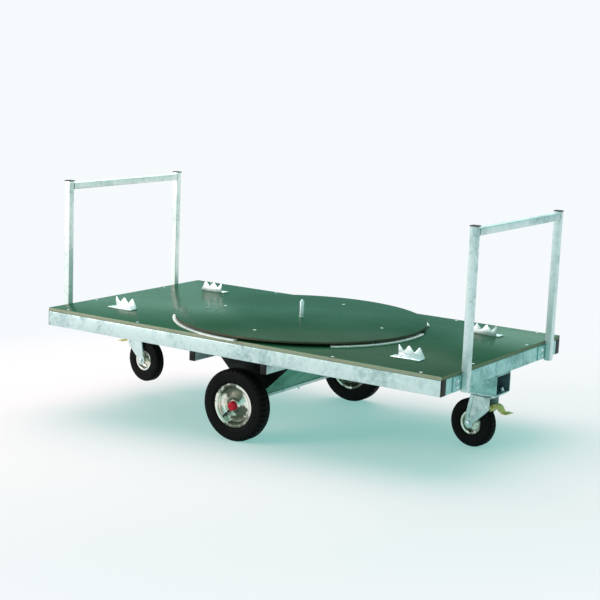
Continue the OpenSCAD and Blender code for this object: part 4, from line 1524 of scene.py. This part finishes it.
@dataclass
class Castor:
    """The swivelling part of one castor: fork, pins, wheel and brake pedal."""

    side: Side
    swivel: float = 925 * MM
    trail: float = 54 * MM
    radius: float = 103 * MM
    lift: float = 38 * MM
    stands_at: float = -8.0
    width: float = 50 * MM
    bead: float = 44.6 * MM
    leg_inner: float = 32 * MM
    sheet: float = 4 * MM
    pedal_pin: tuple[float, float] = (33 * MM, 222.5 * MM)

    @property
    def hub(self) -> Vector:
        """The wheel's centre, before the castor's turns."""
        return Vector((self.swivel - self.trail, 0, self.radius + self.lift))

    @property
    def turn(self) -> Matrix:
        """The turn about the swivel axis to the angle it stands at, then the side's turn."""
        axis = Vector((self.swivel, 0, 0))
        stand = Matrix.Translation(axis) @ Matrix.Rotation(math.radians(self.stands_at), 4, "Z") @ Matrix.Translation(
            -axis
        )
        return self.side.turn @ stand

    def build(self) -> None:
        """Builds every moving piece of the castor."""
        self.fork()
        self.pins()
        self.wheel()
        self.pedal()

    def fork(self) -> None:
        """Builds the fork: crown, race, two sloping legs, raised rear edges."""
        word, turn = self.side.value, self.turn
        low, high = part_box("fork_right")
        top, hub, s = high.z, self.hub, self.swivel
        fork = Shape()
        out = self.leg_inner + self.sheet
        fork.block((s - 50 * MM, -out, top - 5 * MM), (s + 42 * MM, out, top), 1.6 * MM, turn=turn)
        fork.turned(
            [(10 * MM, top - 9 * MM), (22 * MM, top - 9 * MM), (26 * MM, top - 5 * MM), (10 * MM, top - 5 * MM)],
            (s, 0, 0), 2, 40, turn=turn
        )
        bend = hub.z + 42 * MM
        leg = [
            (s - 50 * MM, top), (s - 60 * MM, (top + bend) / 2), (s - 68 * MM, bend),
            (s - 68.5 * MM, hub.z + 20 * MM), (hub.x - 21.5 * MM, hub.z + 3 * MM),
            (hub.x - 19 * MM, hub.z - 10 * MM), (hub.x - 11 * MM, hub.z - 18.6 * MM),
            (hub.x, hub.z - 21.8 * MM), (hub.x + 11 * MM, hub.z - 18.6 * MM),
            (hub.x + 19 * MM, hub.z - 10 * MM), (hub.x + 22 * MM, hub.z + 4 * MM),
            (s + 22 * MM, hub.z + 52 * MM), (s + 42 * MM, self.pedal_pin[1] - 8 * MM), (s + 42 * MM, top),
        ]
        rib = [
            (s - 50 * MM, top), (s - 60 * MM, (top + bend) / 2), (s - 68 * MM, bend),
            (s - 67 * MM, hub.z + 23 * MM), (s - 50 * MM, hub.z + 23 * MM),
            (s - 50 * MM, bend), (s - 42 * MM, (top + bend) / 2), (s - 33 * MM, top),
        ]
        for y in (-out, self.leg_inner):
            fork.plate(leg, y, self.sheet, 1.4 * MM, turn=turn)
        fork.plate(rib, -out - 3.9 * MM, 4.5 * MM, 1.8 * MM, turn=turn)
        fork.plate(rib, out - 0.6 * MM, 4.5 * MM, 1.8 * MM, turn=turn)
        fork.finish(f"fork_{word}_pressed", f"castor_{word}", "zinc", [ZINC], [f"fork_{word}"], 40.0)

    def pins(self) -> None:
        """Builds the axle bolt with its nut and spacers, and the pedal's pin."""
        word, turn = self.side.value, self.turn
        hub, out = self.hub, self.leg_inner + self.sheet
        pins = Shape()
        pins.rod((hub.x, -out, hub.z), (hub.x, out + 9 * MM, hub.z), 6 * MM, 28, 0.8 * MM, turn=turn)
        pins.hex_head((hub.x, -out, hub.z), (0, -1, 0), 20.4 * MM, 7 * MM, turn=turn)
        pins.hex_head((hub.x, out, hub.z), (0, 1, 0), 20.4 * MM, 7 * MM, turn=turn)
        for y in (-self.leg_inner, 28.5 * MM):
            pins.rod((hub.x, y, hub.z), (hub.x, y + 3.5 * MM, hub.z), 11 * MM, 32, 0.4 * MM, turn=turn)
        x, z = self.swivel + self.pedal_pin[0], self.pedal_pin[1]
        pins.rod((x, -out - 2.8 * MM, z), (x, out + 2.8 * MM, z), 4 * MM, 24, turn=turn)
        for sign in (-1, 1):
            pins.rod((x, sign * out, z), (x, sign * (out + 2.9 * MM), z), 6.5 * MM, 28, 1.2 * MM, turn=turn)
        pins.finish(
            f"fork_pins_{word}_plated", f"castor_{word}", "bright_zinc", [BOLT_ZINC], [f"fork_pins_{word}"]
        )

    def wheel(self) -> None:
        """Builds the castor's tyre and two-piece rim."""
        word, turn = self.side.value, self.turn
        body = f"castor_wheel_{word}"
        tyre = Tyre(self.radius, self.width, self.bead, self.hub, turn, 96, 2.2 * MM)
        node = f"castor_tyre_{word}"
        tyre.shape().finish(f"{node}_rubber", body, "tyre_rubber", [RUBBER], [node], 30.0)
        rim = Shape()
        outline = [
            (6.05, -28), (14.4, -28), (15, -27), (16.5, -9), (24, -6), (34, -5), (38, -8), (39.6, -16),
            (41.6, -20), (46, -21.3), (49.6, -21), (50, -19.6),
            (46, -18.6), (43.6, -16), (43.2, -8), (43.2, 8), (43.6, 16), (46, 18.6), (50, 19.6), (49.6, 21),
            (46, 21.3), (41.6, 20), (39.6, 16), (38, 8),
            (34, 5), (24, 6), (16.5, 9), (15, 27), (14.4, 28), (6.05, 28),
        ]
        rim.turned([(r * MM, y * MM) for r, y in outline], self.hub, 1, 72, turn=turn)
        for k in range(5):
            angle = math.radians(40 + 72 * k)
            spot = self.hub + Vector((28 * MM * math.cos(angle), 0, 28 * MM * math.sin(angle)))
            for sign in (-1, 1):
                rim.hex_head(spot + Vector((0, sign * 5.6 * MM, 0)), (0, sign, 0), 9 * MM, 4 * MM, turn=turn)
        rim.finish(f"castor_rim_{word}_steel", body, "bright_zinc", [RIM_STEEL], [f"castor_rim_{word}"], 42.0)

    def pedal(self) -> None:
        """Builds the brake pedal: boss, arched arm with side webs, ribbed tread, shoe."""
        word, turn = self.side.value, self.turn
        x, z = self.swivel + self.pedal_pin[0], self.pedal_pin[1]
        pedal = Shape()
        at = turn @ Matrix.Translation((x, 0, z))
        pedal.turned(
            [(r * MM, y * MM) for r, y in ((4.05, -28), (7.6, -28), (8, -27.5), (8, 27.5), (7.6, 28), (4.05, 28))],
            (0, 0, 0), 1, 32, turn=at
        )
        arm = [
            (-2, 4), (4, -4), (12, 5), (20, 12), (29, 12.4), (38, 9), (46, -1), (52, -10), (60, -14.5),
            (64, -14.5), (64, -10.6), (60.5, -10.6), (55, -6.6), (49, 2.5), (41, 13.2), (30, 16.8),
            (19, 17.2), (8, 10)
        ]
        pedal.plate([(a * MM, b * MM) for a, b in arm], -17 * MM, 34 * MM, 0.9 * MM, turn=at)
        web = [
            (2, 0), (14, 6), (24, 10), (36, 7.5), (45, -3), (52, -12), (48, -13), (38, -4), (26, 2),
            (12, -5)
        ]
        for y in (-17 * MM, 13.5 * MM):
            pedal.plate([(a * MM, b * MM) for a, b in web], y, 3.5 * MM, 0.8 * MM, turn=at)
        pedal.block((60 * MM, -28 * MM, -14.5 * MM), (89 * MM, 28 * MM, -11.4 * MM), 1.0 * MM, turn=at)
        for k in range(4):
            rib = (63 + 6.6 * k) * MM
            pedal.block(
                (rib, -25 * MM, -12.4 * MM), (rib + 2.6 * MM, 25 * MM, -10.55 * MM), 0.6 * MM, turn=at
            )
        shoe = [(-9, -2), (7, -2), (7, -13), (2, -19.5), (-3.5, -18.5), (-9, -11)]
        pedal.plate([(a * MM, b * MM) for a, b in shoe], -17 * MM, 34 * MM, 0.8 * MM, turn=at)
        pedal.finish(
            f"brake_pedal_{word}_pressed", f"brake_{word}", "yellow_zinc", [PEDAL_ZINC],
            [f"brake_pedal_{word}"], 40.0
        )


@dataclass
class CastorMounts:
    """The fixed parts of both castors: plates with races, bolts and kingpins."""

    swivel: float = 925 * MM
    bolts: tuple[float, float] = (52.5 * MM, 40 * MM)

    def build(self) -> None:
        """Builds plates, bolts and kingpins."""
        plate_low, plate_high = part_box("castor_plates")
        channel_low, channel_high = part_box("castor_channel_right")
        floor = channel_low.z + 4 * MM
        plates, bolts = Shape(), Shape()
        race = [
            (8.1, 0), (36, 0), (38, 1.2), (39.5, 3.4), (43, 6.6), (45.5, 8.4), (46, 10.2), (8.1, 10.2),
        ]
        for turn in (IDENTITY, HALF_TURN):
            low = Vector((self.swivel - 70 * MM, plate_low.y, plate_high.z - 6 * MM))
            plates.block(low, (self.swivel + 70 * MM, plate_high.y, plate_high.z), 1.6 * MM, turn=turn)
            plates.turned(
                [(r * MM, plate_low.z + h * MM) for r, h in race], (self.swivel, 0, 0), 2, 56, turn=turn
            )
            for x in (-self.bolts[0], self.bolts[0]):
                for y in (-self.bolts[1], self.bolts[1]):
                    spot = Vector((self.swivel + x, y, low.z))
                    bolts.hex_head(spot, (0, 0, -1), 17.6 * MM, 6.0 * MM, turn=turn)
                    top = Vector((self.swivel + x, y, floor))
                    bolts.hex_head(top, (0, 0, 1), 17.6 * MM, 7 * MM, 10.5 * MM, turn=turn)
                    bolts.rod(top, top + Vector((0, 0, 13.8 * MM)), 4.9 * MM, 24, 0.8 * MM, turn=turn)
        plates.finish("castor_plates_pressed", "frame", "zinc", [ZINC], ["castor_plates"], 40.0)
        bolts.finish("castor_bolts_hex", "frame", "bright_zinc", [BOLT_ZINC], ["castor_bolts"])
        dress("kingpins", BOLT_ZINC)


# ---------------------------------------------------------------- studio


@dataclass
class Studio:
    """Floor, surround, soft lights and the camera.

    The truck rocks on its middle wheels, so the floor meets the right castor.
    """

    azimuth: float = 32.84
    elevation: float = 10.536
    roll: float = 2.365
    stand: tuple[float, float, float] = (3.46857, -5.32395, 1.66576)
    lens: float = 87.277
    shift: tuple[float, float] = (-0.01275, 0.02248)
    rock: float = 2.50

    def build(self) -> None:
        """Builds the studio."""
        self.floor()
        self.surround()
        self.lamp("overhead_soft_box", (-1.6, 1.2, 4.4), (-0.2, 0.0, 0.0), 6.4, 270.0, (1.0, 0.80, 0.88))
        self.lamp("left_soft_box", (-5.2, -5.4, 2.6), (0.0, 0.0, 0.4), 3.4, 250.0, (1.0, 0.78, 0.78))
        self.lamp("left_card", (-7.2, 6.2, 1.4), (-0.6, 0.0, 0.45), 3.2, 22.0, (0.66, 1.0, 0.84))
        self.lamp("right_card", (-1.4, 9.0, 1.4), (0.9, 0.2, 0.45), 3.0, 34.0, (0.66, 1.0, 0.84))
        self.camera()

    def floor(self) -> None:
        """Lays the floor."""
        part = bmesh.new()
        bmesh.ops.create_circle(part, cap_ends=True, segments=64, radius=60.0)
        level = Matrix.Translation((0, 0, -0.14 * MM)) @ Matrix.Rotation(-math.radians(self.rock), 4, "Y")
        bmesh.ops.transform(part, matrix=level, verts=part.verts)
        mesh = bpy.data.meshes.new("floor")
        part.to_mesh(mesh)
        part.free()
        mesh.materials.append(FLOOR.make())
        floor = bpy.data.objects.new("floor", mesh)
        bpy.context.scene.collection.objects.link(floor)

    def surround(self) -> None:
        """Sets a pale surround: near white to the eye, a dimmer blue-green for light."""
        world = bpy.data.worlds.new("surround")
        world.use_nodes = True
        tree = world.node_tree
        tree.nodes.clear()
        path = tree.nodes.new("ShaderNodeLightPath")
        seen = tree.nodes.new("ShaderNodeBackground")
        seen.inputs["Color"].default_value = (*FLOOR.surround, 1.0)
        fill = tree.nodes.new("ShaderNodeBackground")
        fill.inputs["Color"].default_value = (0.44, 0.92, 0.84, 1.0)
        fill.inputs["Strength"].default_value = 0.66
        mix = tree.nodes.new("ShaderNodeMixShader")
        out = tree.nodes.new("ShaderNodeOutputWorld")
        tree.links.new(path.outputs["Is Camera Ray"], mix.inputs[0])
        tree.links.new(fill.outputs[0], mix.inputs[1])
        tree.links.new(seen.outputs[0], mix.inputs[2])
        tree.links.new(mix.outputs[0], out.inputs["Surface"])
        bpy.context.scene.world = world
        bpy.context.scene.view_settings.view_transform = "Standard"

    @staticmethod
    def lamp(name: str, place: Point, aim: Point, size: float, power: float, colour: Colour) -> None:
        """Adds a soft square lamp.

        Args:
            name: Its name.
            place: Where it hangs.
            aim: What it looks at.
            size: The length of its side.
            power: Its power, in watts.
            colour: Its colour.
        """
        data = bpy.data.lights.new(name, "AREA")
        data.size = size
        data.energy = power
        data.color = colour
        lamp = bpy.data.objects.new(name, data)
        lamp.location = place
        lamp.visible_camera = False
        lamp.rotation_euler = (Vector(aim) - Vector(place)).to_track_quat("-Z", "Y").to_euler()
        bpy.context.scene.collection.objects.link(lamp)

    def camera(self) -> None:
        """Stands the camera at the view's angle."""
        turn, rise, roll = (math.radians(v) for v in (self.azimuth, self.elevation, self.roll))
        back = Vector((math.sin(turn) * math.cos(rise), -math.cos(turn) * math.cos(rise), math.sin(rise)))
        right = (-back).cross(Vector((0, 0, 1))).normalized()
        up = right.cross(-back)
        tilted_right = right * math.cos(roll) + up * math.sin(roll)
        tilted_up = up * math.cos(roll) - right * math.sin(roll)
        data = bpy.data.cameras.new("camera")
        data.lens = self.lens
        data.sensor_width = 36.0
        data.shift_x, data.shift_y = self.shift
        data.clip_end = 200.0
        camera = bpy.data.objects.new("camera", data)
        camera.matrix_world = Matrix.Translation(self.stand) @ Matrix((tilted_right, tilted_up, back)).transposed().to_4x4(
            
        )
        bpy.context.scene.collection.objects.link(camera)
        bpy.context.scene.camera = camera


def main() -> None:
    """Builds the truck and its studio."""
    logging.basicConfig(level=logging.INFO, format="%(name)s: %(message)s")
    Studio().build()
    Deck().build()
    Chassis().build()
    AxleTrough().build()
    for flank in Flank:
        MiddleWheel(flank).build()
    Turntable().build()
    ToothedBrackets().build()
    PushFrames().build()
    CastorMounts().build()
    for side in Side:
        Castor(side).build()


if __name__ == "__main__":
    main()
